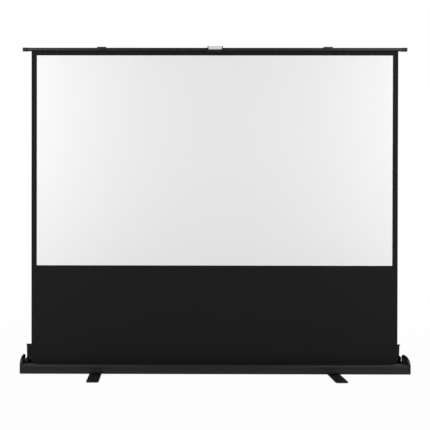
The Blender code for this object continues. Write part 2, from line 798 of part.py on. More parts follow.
def lid_path():
    """The open lid's outer side in (y, z) from its hinge: skirt, brow, top panel and front slope."""
    half = LID_WALL / 2
    skirt_end = opened(half, LID_SKIRT)
    brow = LID_SKIRT + LID_BROW_RISE
    brow_end = opened(half - LID_BROW_DEPTH, brow)
    panel_end = opened(half - LID_DEPTH, brow - LID_FALL)
    lip_end = opened(half - LID_DEPTH - LID_LIP_DEPTH, brow - LID_FALL - LID_LIP_FALL)
    reach = math.sqrt((BEAD_RADIUS + BORE_GAP + CLAW_WALL) ** 2 - half**2)
    start = opened(half, reach)
    return rounded(
        [
            (*start, 0),
            (*skirt_end, LID_CORNER),
            (*brow_end, LID_CORNER),
            (*panel_end, LID_CORNER),
            (*lip_end, 0),
        ],
        closed=False,
    )


def lid_outline():
    """The lid's section: its bent sheet and the claw that grips the hinge bead."""
    path = lid_path()
    inner_radius = BEAD_RADIUS + BORE_GAP
    outer_radius = inner_radius + CLAW_WALL
    join = math.asin(LID_WALL / 2 / outer_radius)
    claw_end = CLAW_START + CLAW_SWEEP
    sheet = path + offset_path(path, LID_WALL)[::-1]
    steps = SMALL_STEPS // 2
    claw = arc((0, 0), outer_radius, join, claw_end, steps)[1:]
    claw += arc((0, 0), inner_radius, claw_end, CLAW_START, SMALL_STEPS)
    claw += arc((0, 0), outer_radius, CLAW_START, -join, steps)[:-1]
    return sheet + claw


def build_lid():
    """The long lid, standing open behind the case, with a moulded plug at each end."""
    hinge = (0, HINGE_Y, HINGE_Z)
    lid = prism(
        "lid_panel", [lid_outline()], "X", -LID_HALF, LID_HALF, "black_coated_aluminium", hinge
    )
    path = lid_path()
    skirt = path[0][0] + CLAW_WALL
    plug_path = [(skirt, path[0][1]), *path[1:]]
    for label, side in (("left", -1), ("right", 1)):
        prism(
            f"lid_end_plug_{label}",
            [band(plug_path, LID_PLUG_WALL)],
            "X",
            *span(side, LID_HALF + SEAT_GAP, LID_END_X),
            "black_moulded_plastic",
            parent=lid,
        )
    return lid


def build_foot(label, side):
    """A swivelling foot bar on its pivot bolt, with a washer above and a rubber pad at each end."""
    pivot = (side * FOOT_SPACING / 2, 0, 0)
    half_x, half_y = FOOT_WIDTH / 2, FOOT_LENGTH / 2
    outline = rounded(
        [
            (-half_x, -half_y, FOOT_CORNER),
            (half_x, -half_y, FOOT_CORNER),
            (half_x, half_y, FOOT_CORNER),
            (-half_x, half_y, FOOT_CORNER),
        ]
    )
    pad_y = half_y - PAD_INSET
    loops = [
        outline,
        circle((0, 0), FOOT_BOLT_RADIUS + BORE_GAP),
        circle((0, pad_y), PEG_RADIUS + BORE_GAP, SMALL_STEPS),
        circle((0, -pad_y), PEG_RADIUS + BORE_GAP, SMALL_STEPS),
    ]
    bar = prism(
        f"foot_bar_{label}", loops, "Z", FOOT_BASE_Z, FOOT_TOP_Z, "black_coated_steel", pivot
    )
    reach = max(FOOT_BOLT_RADIUS, PEG_RADIUS) + 2 * BORE_GAP

    def on_top_edge(point):
        clear = all(
            math.hypot(point.x, point.y - centre) > reach for centre in (-pad_y, 0, pad_y)
        )
        return clear and abs(point.z - FOOT_TOP_Z) < MERGE_DISTANCE

    soften_edges(bar, on_top_edge, FOOT_EDGE)
    for end, place_y in (("front", -pad_y), ("back", pad_y)):
        peg_top = PAD_THICKNESS + PEG_HEIGHT
        turned(
            f"foot_pad_{label}_{end}",
            [
                (0, peg_top),
                (PEG_RADIUS, peg_top),
                (PEG_RADIUS, PAD_THICKNESS),
                (PAD_RADIUS, PAD_THICKNESS),
                (PAD_RADIUS, 0),
                (0, 0),
            ],
            "Z",
            "black_rubber",
            (0, place_y, 0),
            bar,
            steps=SMALL_STEPS,
        )
    washer_base = FOOT_TOP_Z + SEAT_GAP
    washer_top = washer_base + WASHER_THICKNESS
    bore = FOOT_BOLT_RADIUS + BORE_GAP
    turned(
        f"foot_washer_{label}",
        [
            (WASHER_RADIUS, washer_top),
            (WASHER_RADIUS, washer_base),
            (bore, washer_base),
            (bore, washer_top),
        ],
        "Z",
        "white_nylon",
        pivot,
        closed=True,
    )
    head_top = FOOT_BASE_Z - SEAT_GAP
    head_base = head_top - FOOT_BOLT_HEAD_HEIGHT
    nut_base = CASE_FLOOR_Z + SEAT_GAP
    nut_top = nut_base + FOOT_NUT_HEIGHT
    turned(
        f"foot_pivot_bolt_{label}",
        [
            (0, nut_top),
            (FOOT_NUT_RADIUS, nut_top),
            (FOOT_NUT_RADIUS, nut_base),
            (FOOT_BOLT_RADIUS, nut_base),
            (FOOT_BOLT_RADIUS, head_top),
            (FOOT_BOLT_HEAD, head_top),
            (FOOT_BOLT_HEAD, head_base),
            (0, head_base),
        ],
        "Z",
        "bright_steel",
        pivot,
    )
    return bar


def ring_profile(outer, inner, low, high):
    return [(outer, high), (outer, low), (inner, low), (inner, high)]


def build_roller():
    """The cloth roller in the case: tube, end plugs, the last turns of cloth and the spring motor."""
    axis = (0, ROLLER_Y, ROLLER_Z)
    half = ROLLER_HALF
    tube_profile = ring_profile(ROLLER_RADIUS, ROLLER_RADIUS - ROLLER_WALL, -half, half)
    turned("roller_tube", tube_profile, "X", "raw_aluminium", axis, closed=True)
    wound = ring_profile(WOUND_RADIUS, ROLLER_RADIUS + SEAT_GAP, -SHEET_HALF, SHEET_HALF)
    turned("wound_fabric", wound, "X", "black_cloth", axis, closed=True)
    bore = ROLLER_PIN_RADIUS + BORE_GAP
    fit = ROLLER_RADIUS - ROLLER_WALL - SEAT_GAP
    face = half + SEAT_GAP
    plug_end = half - ROLLER_PLUG_LENGTH
    collar_near = face + ROLLER_FLANGE + SEAT_GAP
    collar_far = collar_near + ROLLER_COLLAR_LENGTH
    pin_end = CAP_PLATE_X + CAP_PLATE + ROLLER_FLANGE
    for label, side, reach in (("left", -1, ARBOR_REACH), ("right", 1, ROLLER_PLUG_LENGTH)):
        plug = [
            (ROLLER_RADIUS, face + ROLLER_FLANGE),
            (ROLLER_RADIUS, face),
            (fit, face),
            (fit, plug_end),
            (bore, plug_end),
            (bore, face + ROLLER_FLANGE),
        ]
        inner_end = half - reach
        pin = [
            (0, pin_end),
            (ROLLER_PIN_RADIUS, pin_end),
            (ROLLER_PIN_RADIUS, collar_far),
            (ROLLER_COLLAR_RADIUS, collar_far),
            (ROLLER_COLLAR_RADIUS, collar_near),
            (ROLLER_PIN_RADIUS, collar_near),
            (ROLLER_PIN_RADIUS, inner_end),
            (0, inner_end),
        ]
        if side < 0:
            plug = [(radius, -along) for radius, along in plug[::-1]]
            pin = [(radius, -along) for radius, along in pin[::-1]]
        turned(f"roller_plug_{label}", plug, "X", "black_moulded_plastic", axis, closed=True)
        name = "spring_arbor" if side < 0 else "roller_idle_pin"
        turned(name, pin, "X", "bright_steel", axis)
    start = -plug_end + SEAT_GAP + MOTOR_WIRE_RADIUS
    steps = MOTOR_TURNS * MOTOR_STEPS
    coil = [
        (
            start + MOTOR_PITCH * step / MOTOR_STEPS,
            MOTOR_COIL_RADIUS * math.cos(2 * math.pi * step / MOTOR_STEPS),
            MOTOR_COIL_RADIUS * math.sin(2 * math.pi * step / MOTOR_STEPS),
        )
        for step in range(steps + 1)
    ]
    tube("roller_spring", coil, MOTOR_WIRE_RADIUS, "spring_steel", axis)
    report_least_gap("roller_spring", coil, MOTOR_WIRE_RADIUS, MOTOR_STEPS)


def report_least_gap(name, points, radius, steps):
    """Prints the least gap between a coil's own turns, measured between its points."""
    places = [Vector(point) for point in points]
    least = min(
        (first - second).length
        for index, first in enumerate(places)
        for second in places[index + steps // 2 + 1 :]
    )
    print(f"{name}: least gap between turns {(least - 2 * radius) * 1000:.2f} mm")


def bar_outline():
    """The top bar's C-shaped section in (y, z) about its centre, open in a slot underneath."""
    half_y, half_z, slot = BAR_DEPTH / 2, BAR_HEIGHT / 2, BAR_SLOT / 2
    path = rounded(
        [
            (slot, -half_z, 0),
            (half_y, -half_z, BAR_CORNER),
            (half_y, half_z, BAR_CORNER),
            (-half_y, half_z, BAR_CORNER),
            (-half_y, -half_z, BAR_CORNER),
            (-slot, -half_z, 0),
        ],
        closed=False,
    )
    return band(path, BAR_WALL)


def build_bar():
    """The top bar with its end plugs, and the rod in the cloth's hem that hangs in its slot."""
    parent = bar_empty()
    centre = on_bar(0, BAR_Y, BAR_Z)
    half = BAR_HALF
    prism(
        "top_bar", [bar_outline()], "X", -half, half, "black_coated_aluminium", centre, parent=parent
    )
    radius, waist, dome = BAR_PLUG_RADIUS, BAR_PLUG_RADIUS - BAR_PLUG_WAIST, BAR_PLUG_DOME
    near = half + SEAT_GAP
    far = half + BAR_PLUG_LENGTH
    length = far - near
    plug_shares = [(0.0, 1.0), (0.45, 1.0), (0.52, 0.0), (0.60, 0.0), (0.67, 1.0), (0.90, 1.0)]
    head = [(radius - dome, far), (radius - dome / 4, far - dome / 2)]
    body = [
        (waist + (radius - waist) * swell_share, near + length * place_share)
        for place_share, swell_share in plug_shares[::-1]
    ]
    profile = [(0, far), *head, *body, (0, near)]
    tongue = tongue_outline()
    for label, side in (("left", -1), ("right", 1)):
        shape = profile
        if side < 0:
            shape = [(share, -along) for share, along in profile[::-1]]
        name = f"top_bar_plug_{label}"
        plug = turned(name, shape, "X", "black_moulded_plastic", centre, parent)
        low, high = span(side, half - BAR_TONGUE_LENGTH, near + JOIN_OVERLAP)
        piece = prism(f"plug_tongue_{label}", [tongue], "X", low, high, None, centre, parent=parent)
        boolean(plug, piece, "UNION")
    rod_half = half - BAR_TONGUE_LENGTH - SEAT_GAP
    rod_z = -BAR_HEIGHT / 2 + BAR_WALL + SEAT_GAP + HEM_ROD_RADIUS
    turned(
        "hem_rod",
        [
            (0, rod_half),
            (HEM_ROD_RADIUS, rod_half),
            (HEM_ROD_RADIUS, -rod_half),
            (0, -rod_half),
        ],
        "X",
        "spring_steel",
        on_bar(0, BAR_Y, BAR_Z + rod_z),
        parent,
        steps=SMALL_STEPS,
    )


def tongue_outline():
    """The chamfered block of an end plug that fits the bar's inside, in (y, z) about its centre."""
    half_y = BAR_DEPTH / 2 - BAR_WALL - SEAT_GAP
    half_z = BAR_HEIGHT / 2 - BAR_WALL - SEAT_GAP
    short_y = half_y - BAR_CORNER + BAR_WALL
    short_z = half_z - BAR_CORNER + BAR_WALL
    return [
        (-short_y, -half_z),
        (short_y, -half_z),
        (half_y, -short_z),
        (half_y, short_z),
        (short_y, half_z),
        (-short_y, half_z),
        (-half_y, short_z),
        (-half_y, -short_z),
    ]


def bar_empty():
    """The empty that everything on the top bar hangs from, on the left arm's top pivot."""
    name = "top_bar_carrier"
    if name in bpy.data.objects:
        return bpy.data.objects[name]
    return make_empty(name, (-ARM_PIVOT_X, 0, TOP_PIVOT_Z))


def on_bar(x, y, z):
    """A point of the whole object, measured from the top bar's empty."""
    return (x + ARM_PIVOT_X, y, z - TOP_PIVOT_Z)


def build_sheet():
    """The cloth, from the roller's tangent line up through the case's slot to the top bar."""
    top = BAR_BASE_Z + BAR_WALL
    block(
        "screen_sheet",
        (-SHEET_HALF, SHEET_Y - SHEET_THICKNESS / 2, ROLLER_Z + SHEET_THICKNESS),
        (SHEET_HALF, SHEET_Y + SHEET_THICKNESS / 2, top),
        "screen_cloth",
    )


def side_empty(label):
    """The space of one pair of arms: the right pair is the left one turned half round."""
    name = f"arms_{label}"
    if name in bpy.data.objects:
        return bpy.data.objects[name]
    if label == "left":
        return make_empty(name)
    return make_empty(name, (0, 2 * STACK_MID_Y, 0), (0, 0, 2 * QUARTER_TURN))


def build_arm(name, pivot, angle, parent):
    """A flat arm with round ends, its origin on its lower pin; both pins' heads sink into it."""
    half = ARM_WIDTH / 2
    bore = PIN_RADIUS + BORE_GAP
    steps = ROUND_STEPS // 2
    outline = arc((ARM_LENGTH, 0), half, -QUARTER_TURN, QUARTER_TURN, steps)
    outline += arc((0, 0), half, QUARTER_TURN, 3 * QUARTER_TURN, steps)
    loops = [outline, circle((0, 0), bore), circle((ARM_LENGTH, 0), bore)]
    arm = prism(
        name,
        loops,
        "Y",
        0,
        ARM_THICKNESS,
        "black_coated_aluminium",
        pivot,
        (0, -angle, 0),
        parent,
    )
    sink = RIVET_HEAD + SEAT_GAP
    radius = PIN_HEAD_RADIUS + BORE_GAP
    for what, along, low, high in (
        ("near", 0, -CUT_OVERRUN, sink),
        ("far", ARM_LENGTH, ARM_THICKNESS - sink, ARM_THICKNESS + CUT_OVERRUN),
    ):
        cutter = cylinder_cutter(
            f"{name}_{what}_sink", radius, low, high, "Y", (along, 0, 0), arm
        )
        boolean(arm, cutter, "DIFFERENCE")
    return arm


def pin_profile(low, high, low_head, high_head):
    """A pin with a head at each end, as (radius, along) points from its high end down."""
    return [
        (0, high),
        (PIN_HEAD_RADIUS, high),
        (PIN_HEAD_RADIUS, high - high_head),
        (PIN_RADIUS, high - high_head),
        (PIN_RADIUS, low + low_head),
        (PIN_HEAD_RADIUS, low + low_head),
        (PIN_HEAD_RADIUS, low),
        (0, low),
    ]


def spring_coil_radius():
    return ARM_WIDTH / 2 + SEAT_GAP + SPRING_WIRE_RADIUS


def spring_turn_angle():
    """From the leg that rests under the coil to the leg along the raised arm."""
    return 2 * math.pi * SPRING_WHOLE_TURNS + ARM_RAISED_ANGLE


def spring_rear():
    """The depth of the lifting spring behind its bracket's plate."""
    climb = SPRING_PITCH * spring_turn_angle() / (2 * math.pi)
    return climb + 2 * SPRING_WIRE_RADIUS + SEAT_GAP


def spring_points():
    """The lifting spring's line about its pin: resting leg, coil, leg along the arm and hook."""
    radius = spring_coil_radius()
    front = SEAT_GAP + SPRING_WIRE_RADIUS
    total = spring_turn_angle()
    climb = SPRING_PITCH * total / (2 * math.pi)
    rear = front + climb
    leg_x = -SPRING_REST_LEG
    points = [(leg_x, SEAT_GAP, -radius), (leg_x, rear - SPRING_BEND, -radius)]
    points.append((leg_x + SPRING_BEND / 2, rear - SPRING_BEND / 4, -radius))
    points.append((leg_x + SPRING_BEND, rear, -radius))
    steps = math.ceil(SPRING_STEPS * total / (2 * math.pi))
    for step in range(steps + 1):
        share = step / steps
        angle = -QUARTER_TURN + total * share
        points.append(
            (radius * math.cos(angle), rear - climb * share, radius * math.sin(angle))
        )
    end_angle = -QUARTER_TURN + total
    along = Vector((-math.sin(end_angle), 0, math.cos(end_angle)))
    corner = Vector(points[-1]) + along * SPRING_ARM_LEG
    forward = Vector((0, -1, 0))
    points.append(tuple(corner - along * SPRING_BEND))
    points.append(tuple(corner + (forward - along) * SPRING_BEND / 4))
    points.append(tuple(corner + forward * SPRING_BEND))
    points.append(tuple(corner + forward * SPRING_HOOK_LEG))
    return points


def build_base_bracket(label, parent):
    """The bracket on the case's floor that holds a lower arm's pin: plate and floor flange."""
    half = BASE_PLATE_WIDTH / 2
    base = CASE_FLOOR_Z + SEAT_GAP - BASE_PIVOT_Z
    shoulder = base + BASE_PLATE_SHOULDER
    steps = ROUND_STEPS // 2
    head_angle = math.radians(20)
    outline = [(-half, base), (half, base), (half, shoulder)]
    outline += arc((0, 0), BASE_PLATE_HEAD, head_angle, math.pi - head_angle, steps)
    outline.append((-half, shoulder))
    pivot = (-ARM_PIVOT_X, BASE_PLATE_Y, BASE_PIVOT_Z)
    hole = circle((0, 0), PIN_RADIUS + BORE_GAP)
    plate = prism(
        f"base_bracket_{label}",
        [outline, hole],
        "Y",
        0,
        BRACKET_THICKNESS,
        "black_coated_steel",
        pivot,
        parent=parent,
    )
    flange = block(
        f"base_flange_{label}",
        (-half, BRACKET_THICKNESS - JOIN_OVERLAP, base),
        (half, BASE_FLANGE_DEPTH, base + BRACKET_THICKNESS),
        None,
        pivot,
        parent=parent,
    )
    boolean(plate, flange, "UNION")


def build_bar_bracket(label, parent):
    """The saddle over the top bar with the tongue that holds an upper arm's pin."""
    half = SADDLE_WIDTH / 2
    front, back, way = BAR_FRONT_Y, BAR_REAR_Y, 1
    if label == "right":
        front = 2 * STACK_MID_Y - BAR_FRONT_Y
        back = 2 * STACK_MID_Y - BAR_REAR_Y
        way = -1
    lip_y = front - way * (SEAT_GAP + BRACKET_THICKNESS)
    back_y = back + way * (SEAT_GAP + BRACKET_THICKNESS)
    top = BAR_TOP_Z + SADDLE_RISE - TOP_PIVOT_Z
    web = WEB_RISE
    bend = SADDLE_CORNER + BRACKET_THICKNESS
    corners = [
        (lip_y, BAR_TOP_Z - TOP_PIVOT_Z - SADDLE_LIP, 0),
        (lip_y, top, bend),
        (back_y, top, bend),
    ]
    if label == "left":
        corners.append((back_y, web, 0))
    else:
        ceiling = web + BRACKET_THICKNESS
        end = web - JOIN_OVERLAP
        corners += [(back_y, ceiling, 0), (TONGUE_Y, ceiling, 0), (TONGUE_Y, end, 0)]
    pivot = (-ARM_PIVOT_X, 0, TOP_PIVOT_Z)
    saddle = prism(
        f"bar_bracket_{label}",
        [band(rounded(corners, closed=False), -way * BRACKET_THICKNESS)],
        "X",
        -half,
        half,
        "black_coated_steel",
        pivot,
        parent=parent,
    )
    steps = ROUND_STEPS // 2
    angle = math.radians(20)
    outline = [(half, WEB_RISE + JOIN_OVERLAP), (-half, WEB_RISE + JOIN_OVERLAP)]
    outline += arc((0, 0), TONGUE_RADIUS, math.pi - angle, 2 * math.pi + angle, steps)
    hole = circle((0, 0), PIN_RADIUS + BORE_GAP)
    tongue = prism(
        f"bar_tongue_{label}",
        [outline, hole],
        "Y",
        TONGUE_Y,
        TONGUE_Y + BRACKET_THICKNESS,
        None,
        pivot,
        parent=parent,
    )
    boolean(saddle, tongue, "UNION")


def build_arms(label):
    """One pair of arms with its pins, washer, base bracket, lifting spring and bar bracket."""
    parent = side_empty(label)
    base = (-ARM_PIVOT_X, LOWER_ARM_Y, BASE_PIVOT_Z)
    elbow = (ELBOW_X, UPPER_ARM_Y, ELBOW_Z)
    build_arm(f"lower_arm_{label}", base, ARM_RAISED_ANGLE, parent)
    build_arm(f"upper_arm_{label}", elbow, math.pi - ARM_RAISED_ANGLE, parent)
    turned(
        f"elbow_pin_{label}",
        pin_profile(UPPER_ARM_Y, LOWER_ARM_BACK_Y, RIVET_HEAD, RIVET_HEAD),
        "Y",
        "bright_steel",
        (ELBOW_X, 0, ELBOW_Z),
        parent,
        steps=SMALL_STEPS,
    )
    washer_y = UPPER_ARM_Y + ARM_THICKNESS + (ARM_GAP - ELBOW_WASHER) / 2
    turned(
        f"elbow_washer_{label}",
        ring_profile(
            ELBOW_WASHER_RADIUS, PIN_RADIUS + BORE_GAP, washer_y, washer_y + ELBOW_WASHER
        ),
        "Y",
        "white_nylon",
        (ELBOW_X, 0, ELBOW_Z),
        parent,
        closed=True,
    )
    spring_end = BASE_PLATE_BACK_Y + spring_rear() + SEAT_GAP
    turned(
        f"base_pin_{label}",
        pin_profile(LOWER_ARM_Y, spring_end + PIN_HEAD_HEIGHT, RIVET_HEAD, PIN_HEAD_HEIGHT),
        "Y",
        "bright_steel",
        (-ARM_PIVOT_X, 0, BASE_PIVOT_Z),
        parent,
        steps=SMALL_STEPS,
    )
    # The top pins' heads are flat, because the rear one passes the lid's hinge as the arms fold
    top_head = TONGUE_Y - SEAT_GAP - TOP_PIN_HEAD_HEIGHT
    turned(
        f"top_pin_{label}",
        pin_profile(top_head, UPPER_ARM_Y + ARM_THICKNESS, TOP_PIN_HEAD_HEIGHT, RIVET_HEAD),
        "Y",
        "bright_steel",
        (-ARM_PIVOT_X, 0, TOP_PIVOT_Z),
        parent,
        steps=SMALL_STEPS,
    )
    build_base_bracket(label, parent)
    build_bar_bracket(label, parent)
    points = spring_points()
    tube(
        f"lift_spring_{label}",
        points,
        SPRING_WIRE_RADIUS,
        "spring_steel",
        (-ARM_PIVOT_X, BASE_PLATE_BACK_Y, BASE_PIVOT_Z),
        parent,
    )
    report_least_gap(f"lift_spring_{label}", points, SPRING_WIRE_RADIUS, SPRING_STEPS)


def build_handle():
    """The pull handle at the middle of the top bar: a black bracket with a silver grip."""
    parent = bar_empty()
    origin = on_bar(0, 0, 0)
    width = GRIP_LENGTH / 2 + SEAT_GAP + HANDLE_EAR
    plate_back = BAR_FRONT_Y - SEAT_GAP
    plate_front = plate_back - HANDLE_PLATE
    base_z = BAR_BASE_Z - HANDLE_DROP
    grip_top = BAR_TOP_Z + GRIP_RISE
    grip_back = plate_front - SEAT_GAP
    plate = block(
        "handle_base",
        (-width, plate_front, base_z),
        (width, plate_back, BAR_TOP_Z),
        "black_moulded_plastic",
        origin,
        parent=parent,
    )
    ear_front = plate_front - HANDLE_EAR_REACH
    ear_base = grip_top - HANDLE_EAR_HEIGHT
    ear = rounded(
        [
            (plate_front + JOIN_OVERLAP, ear_base, 0),
            (plate_front + JOIN_OVERLAP, grip_top, 0),
            (ear_front, grip_top, HANDLE_EAR_CORNER),
            (ear_front, ear_base, HANDLE_EAR_CORNER),
        ]
    )
    for label, side in (("left", -1), ("right", 1)):
        low, high = span(side, width - HANDLE_EAR, width)
        piece = prism(f"handle_ear_{label}", [ear], "X", low, high, None, origin, parent=parent)
        boolean(plate, piece, "UNION")
    grip_front = grip_back - GRIP_DEPTH
    grip_base = grip_top - GRIP_HEIGHT
    corner = GRIP_CORNER
    outline = rounded(
        [
            (grip_back, grip_base, corner),
            (grip_back, grip_top, corner),
            (grip_front, grip_top, corner),
            (grip_front, grip_base, corner),
        ]
    )
    half = GRIP_LENGTH / 2
    prism("handle_grip", [outline], "X", -half, half, "silver_plastic", origin, parent=parent)


def build_bail():
    """The carrying bail that hangs on the case's rear wall, in its two ears."""
    pivot_y = CASE_REAR_Y + BAIL_PIVOT_REACH
    pivot_z = CASE_BASE_Z + BAIL_PIVOT_RISE
    pivot = (0, pivot_y, pivot_z)
    half = BAIL_SPAN / 2
    leg = half - BAIL_EAR_WIDTH - BAIL_RADIUS - SEAT_GAP
    outline = rounded(
        [
            (-half, 0, 0),
            (-leg, 0, BAIL_RADIUS),
            (-leg, -BAIL_DROP, BAIL_CORNER),
            (leg, -BAIL_DROP, BAIL_CORNER),
            (leg, 0, BAIL_RADIUS),
            (half, 0, 0),
        ],
        closed=False,
    )
    points = [(x, 0, z) for x, z in outline]
    tube("carry_handle", points, BAIL_RADIUS, "black_moulded_plastic", pivot, resolution=2)
    radius = BAIL_EAR_RADIUS
    wall = SEAT_GAP - BAIL_PIVOT_REACH
    nose = arc((0, 0), radius, -QUARTER_TURN, QUARTER_TURN, ROUND_STEPS // 2)
    outline = [(wall, -radius), *nose, (wall, radius)]
    bore = circle((0, 0), BAIL_RADIUS + BORE_GAP, SMALL_STEPS)
    for label, side in (("left", -1), ("right", 1)):
        low, high = span(side, half - BAIL_EAR_WIDTH, half)
        prism(
            f"carry_handle_ear_{label}",
            [outline, bore],
            "X",
            low,
            high,
            "black_moulded_plastic",
            pivot,
        )


def main():
    build_case()
    build_lid()
    for label, side in (("left", -1), ("right", 1)):
        build_end_cap(label, side)
        build_foot(label, side)
        build_arms(label)
    build_roller()
    build_bar()
    build_sheet()
    build_handle()
    build_bail()
    bpy.context.view_layer.update()


main()
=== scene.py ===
"""A portable projection screen, standing raised on its two feet.

The frame gives every rigid piece its shape and place. This file eases their edges as dies and
presses leave them, turns the pins, pads and screws, coils the springs, bends the carrying handle,
moulds the grip, hangs the cloth from its hem and winds its last turns on the roller, gives each
piece the finish of its real material and sets up a plain studio."""

import json
import math

import bmesh
import bpy
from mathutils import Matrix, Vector

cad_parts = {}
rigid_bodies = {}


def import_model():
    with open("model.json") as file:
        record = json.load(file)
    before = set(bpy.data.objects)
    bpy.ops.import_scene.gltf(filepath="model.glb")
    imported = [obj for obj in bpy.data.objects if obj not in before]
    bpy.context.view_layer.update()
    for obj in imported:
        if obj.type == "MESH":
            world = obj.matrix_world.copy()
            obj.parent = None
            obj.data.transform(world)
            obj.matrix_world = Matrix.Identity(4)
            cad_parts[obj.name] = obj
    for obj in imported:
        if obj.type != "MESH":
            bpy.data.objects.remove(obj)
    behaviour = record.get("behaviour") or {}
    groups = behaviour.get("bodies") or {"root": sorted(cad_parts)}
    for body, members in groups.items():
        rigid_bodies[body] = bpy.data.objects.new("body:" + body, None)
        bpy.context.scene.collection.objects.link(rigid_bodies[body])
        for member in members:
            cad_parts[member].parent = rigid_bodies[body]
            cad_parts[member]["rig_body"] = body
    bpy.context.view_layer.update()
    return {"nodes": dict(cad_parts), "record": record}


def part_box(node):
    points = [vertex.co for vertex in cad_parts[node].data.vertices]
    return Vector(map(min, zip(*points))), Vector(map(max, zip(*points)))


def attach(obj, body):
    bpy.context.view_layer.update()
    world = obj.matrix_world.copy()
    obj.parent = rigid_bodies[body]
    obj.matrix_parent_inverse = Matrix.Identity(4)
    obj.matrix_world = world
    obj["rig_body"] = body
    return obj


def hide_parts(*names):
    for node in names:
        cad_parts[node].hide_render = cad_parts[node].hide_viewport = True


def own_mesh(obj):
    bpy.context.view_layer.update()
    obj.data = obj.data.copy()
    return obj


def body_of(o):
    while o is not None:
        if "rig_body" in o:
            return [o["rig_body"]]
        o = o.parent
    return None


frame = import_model()

bl_info = {
    "name": "Portable Projection Screen",
    "version": (1, 0, 0),
    "blender": (4, 5, 0),
    "location": "View3D > Sidebar > Screen",
    "description": "Dresses a raised pull-up projection screen and its studio",
    "category": "Object",
}

SIDES = (("left", -1), ("right", 1))
MM = 0.001
# Points this close are one point
WELD = 0.00001
# In degrees: an edge whose faces turn by less than FLAT goes, and by more than HARD is hard
FLAT, HARD = 0.5, 30

# Where the cloth and what holds it lie, read from the frame
SHEET_LOW, SHEET_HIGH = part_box("screen_sheet")
ROLL_LOW, ROLL_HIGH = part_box("wound_fabric")
ROD_LOW, ROD_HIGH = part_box("hem_rod")
TUBE_LOW, TUBE_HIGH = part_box("roller_tube")

SHEET_Y = (SHEET_LOW.y + SHEET_HIGH.y) / 2
SHEET_WIDTH = SHEET_HIGH.x - SHEET_LOW.x

# The hem starts this far above the picture
HEM_MARGIN = 0.0003

# The right arm set is the left one turned half round about an upright line at this depth
TURN_Y = (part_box("lower_arm_left")[0].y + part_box("lower_arm_right")[1].y) / 2


def middle(corners):
    """The middle between two corners."""
    return (corners[0] + corners[1]) / 2


def linear(code):
    """An sRGB hex code as linear red, green and blue, with an alpha of 1."""
    values = [int(code[place : place + 2], 16) / 255 for place in (1, 3, 5)]
    channels = [
        value / 12.92 if value <= 0.04045 else ((value + 0.055) / 1.055) ** 2.4 for value in values
    ]
    return (*channels, 1)


class SCREEN_PG_cloth(bpy.types.PropertyGroup):
    """Sizes and colours of the cloth"""

    picture_width: bpy.props.FloatProperty(
        name="Picture width",
        description="Width of the white projection surface",
        default=1.771,
        unit="LENGTH",
    )
    picture_height: bpy.props.FloatProperty(
        name="Picture height",
        description="Height of the white projection surface",
        default=1.0456,
        unit="LENGTH",
    )
    picture_base: bpy.props.FloatProperty(
        name="Picture base",
        description="Height of the picture's lower edge above the floor",
        default=0.5424,
        unit="LENGTH",
    )
    thickness: bpy.props.FloatProperty(
        name="Thickness",
        description="Thickness of the coated cloth",
        default=0.0004,
        unit="LENGTH",
    )
    hem: bpy.props.FloatProperty(
        name="Hem",
        description="Length of cloth turned down behind the sheet and sewn",
        default=0.026,
        unit="LENGTH",
    )
    ripple: bpy.props.FloatProperty(
        name="Ripple",
        description="Height of the slow waves that tension leaves in the cloth",
        default=0.0007,
        unit="LENGTH",
    )
    white: bpy.props.FloatVectorProperty(
        name="White",
        description="Colour of the projection surface",
        subtype="COLOR",
        size=4,
        default=linear("#F6F6F6"),
    )
    black: bpy.props.FloatVectorProperty(
        name="Black",
        description="Colour of the printed border",
        subtype="COLOR",
        size=4,
        default=linear("#1A1A1C"),
    )


class SCREEN_PG_hardware(bpy.types.PropertyGroup):
    """Colours of the metal and plastic pieces, and the lift springs' sizes"""

    metal: bpy.props.FloatVectorProperty(
        name="Coated metal",
        description="Colour of the case, lid, bar and arms",
        subtype="COLOR",
        size=4,
        default=linear("#19191A"),
    )
    plastic: bpy.props.FloatVectorProperty(
        name="Moulded plastic",
        description="Colour of the end caps and plugs",
        subtype="COLOR",
        size=4,
        default=linear("#151516"),
    )
    spring_wire: bpy.props.FloatProperty(
        name="Spring wire",
        description="Diameter of the lift springs' wire",
        default=0.0035,
        unit="LENGTH",
    )
    spring_pitch: bpy.props.FloatProperty(
        name="Spring pitch",
        description="Distance between the lift springs' turns",
        default=0.0040,
        unit="LENGTH",
    )
    silver: bpy.props.FloatVectorProperty(
        name="Grip",
        description="Colour of the silver grip",
        subtype="COLOR",
        size=4,
        default=linear("#DEDFE1"),
    )


class SCREEN_PG_stage(bpy.types.PropertyGroup):
    """Camera and lamps"""

    lens: bpy.props.FloatProperty(
        name="Lens",
        description="Focal length on a 36 mm wide sensor",
        default=51.44,
    )
    lamp_power: bpy.props.FloatProperty(
        name="Lamp power",
        description="Power of each side lamp",
        default=30.0,
        unit="POWER",
    )
    back_power: bpy.props.FloatProperty(
        name="Back lamp power",
        description="Power of the lamp behind the screen",
        default=90.0,
        unit="POWER",
    )
    ambient: bpy.props.FloatProperty(
        name="Room light",
        description="Strength of the even light from all round",
        default=0.27,
    )


def add_node(tree, kind, inputs=None, **settings):
    """Adds a shader node with its settings; an input is a value or another node's output."""
    node = tree.nodes.new(kind)
    for name, value in settings.items():
        setattr(node, name, value)
    for key, value in (inputs or {}).items():
        if isinstance(value, bpy.types.NodeSocket):
            tree.links.new(value, node.inputs[key])
        else:
            node.inputs[key].default_value = value
    return node


def dimmed(colour, share):
    """A colour made darker or, with a share above 1, lighter."""
    return (*(value * share for value in colour[:3]), 1)


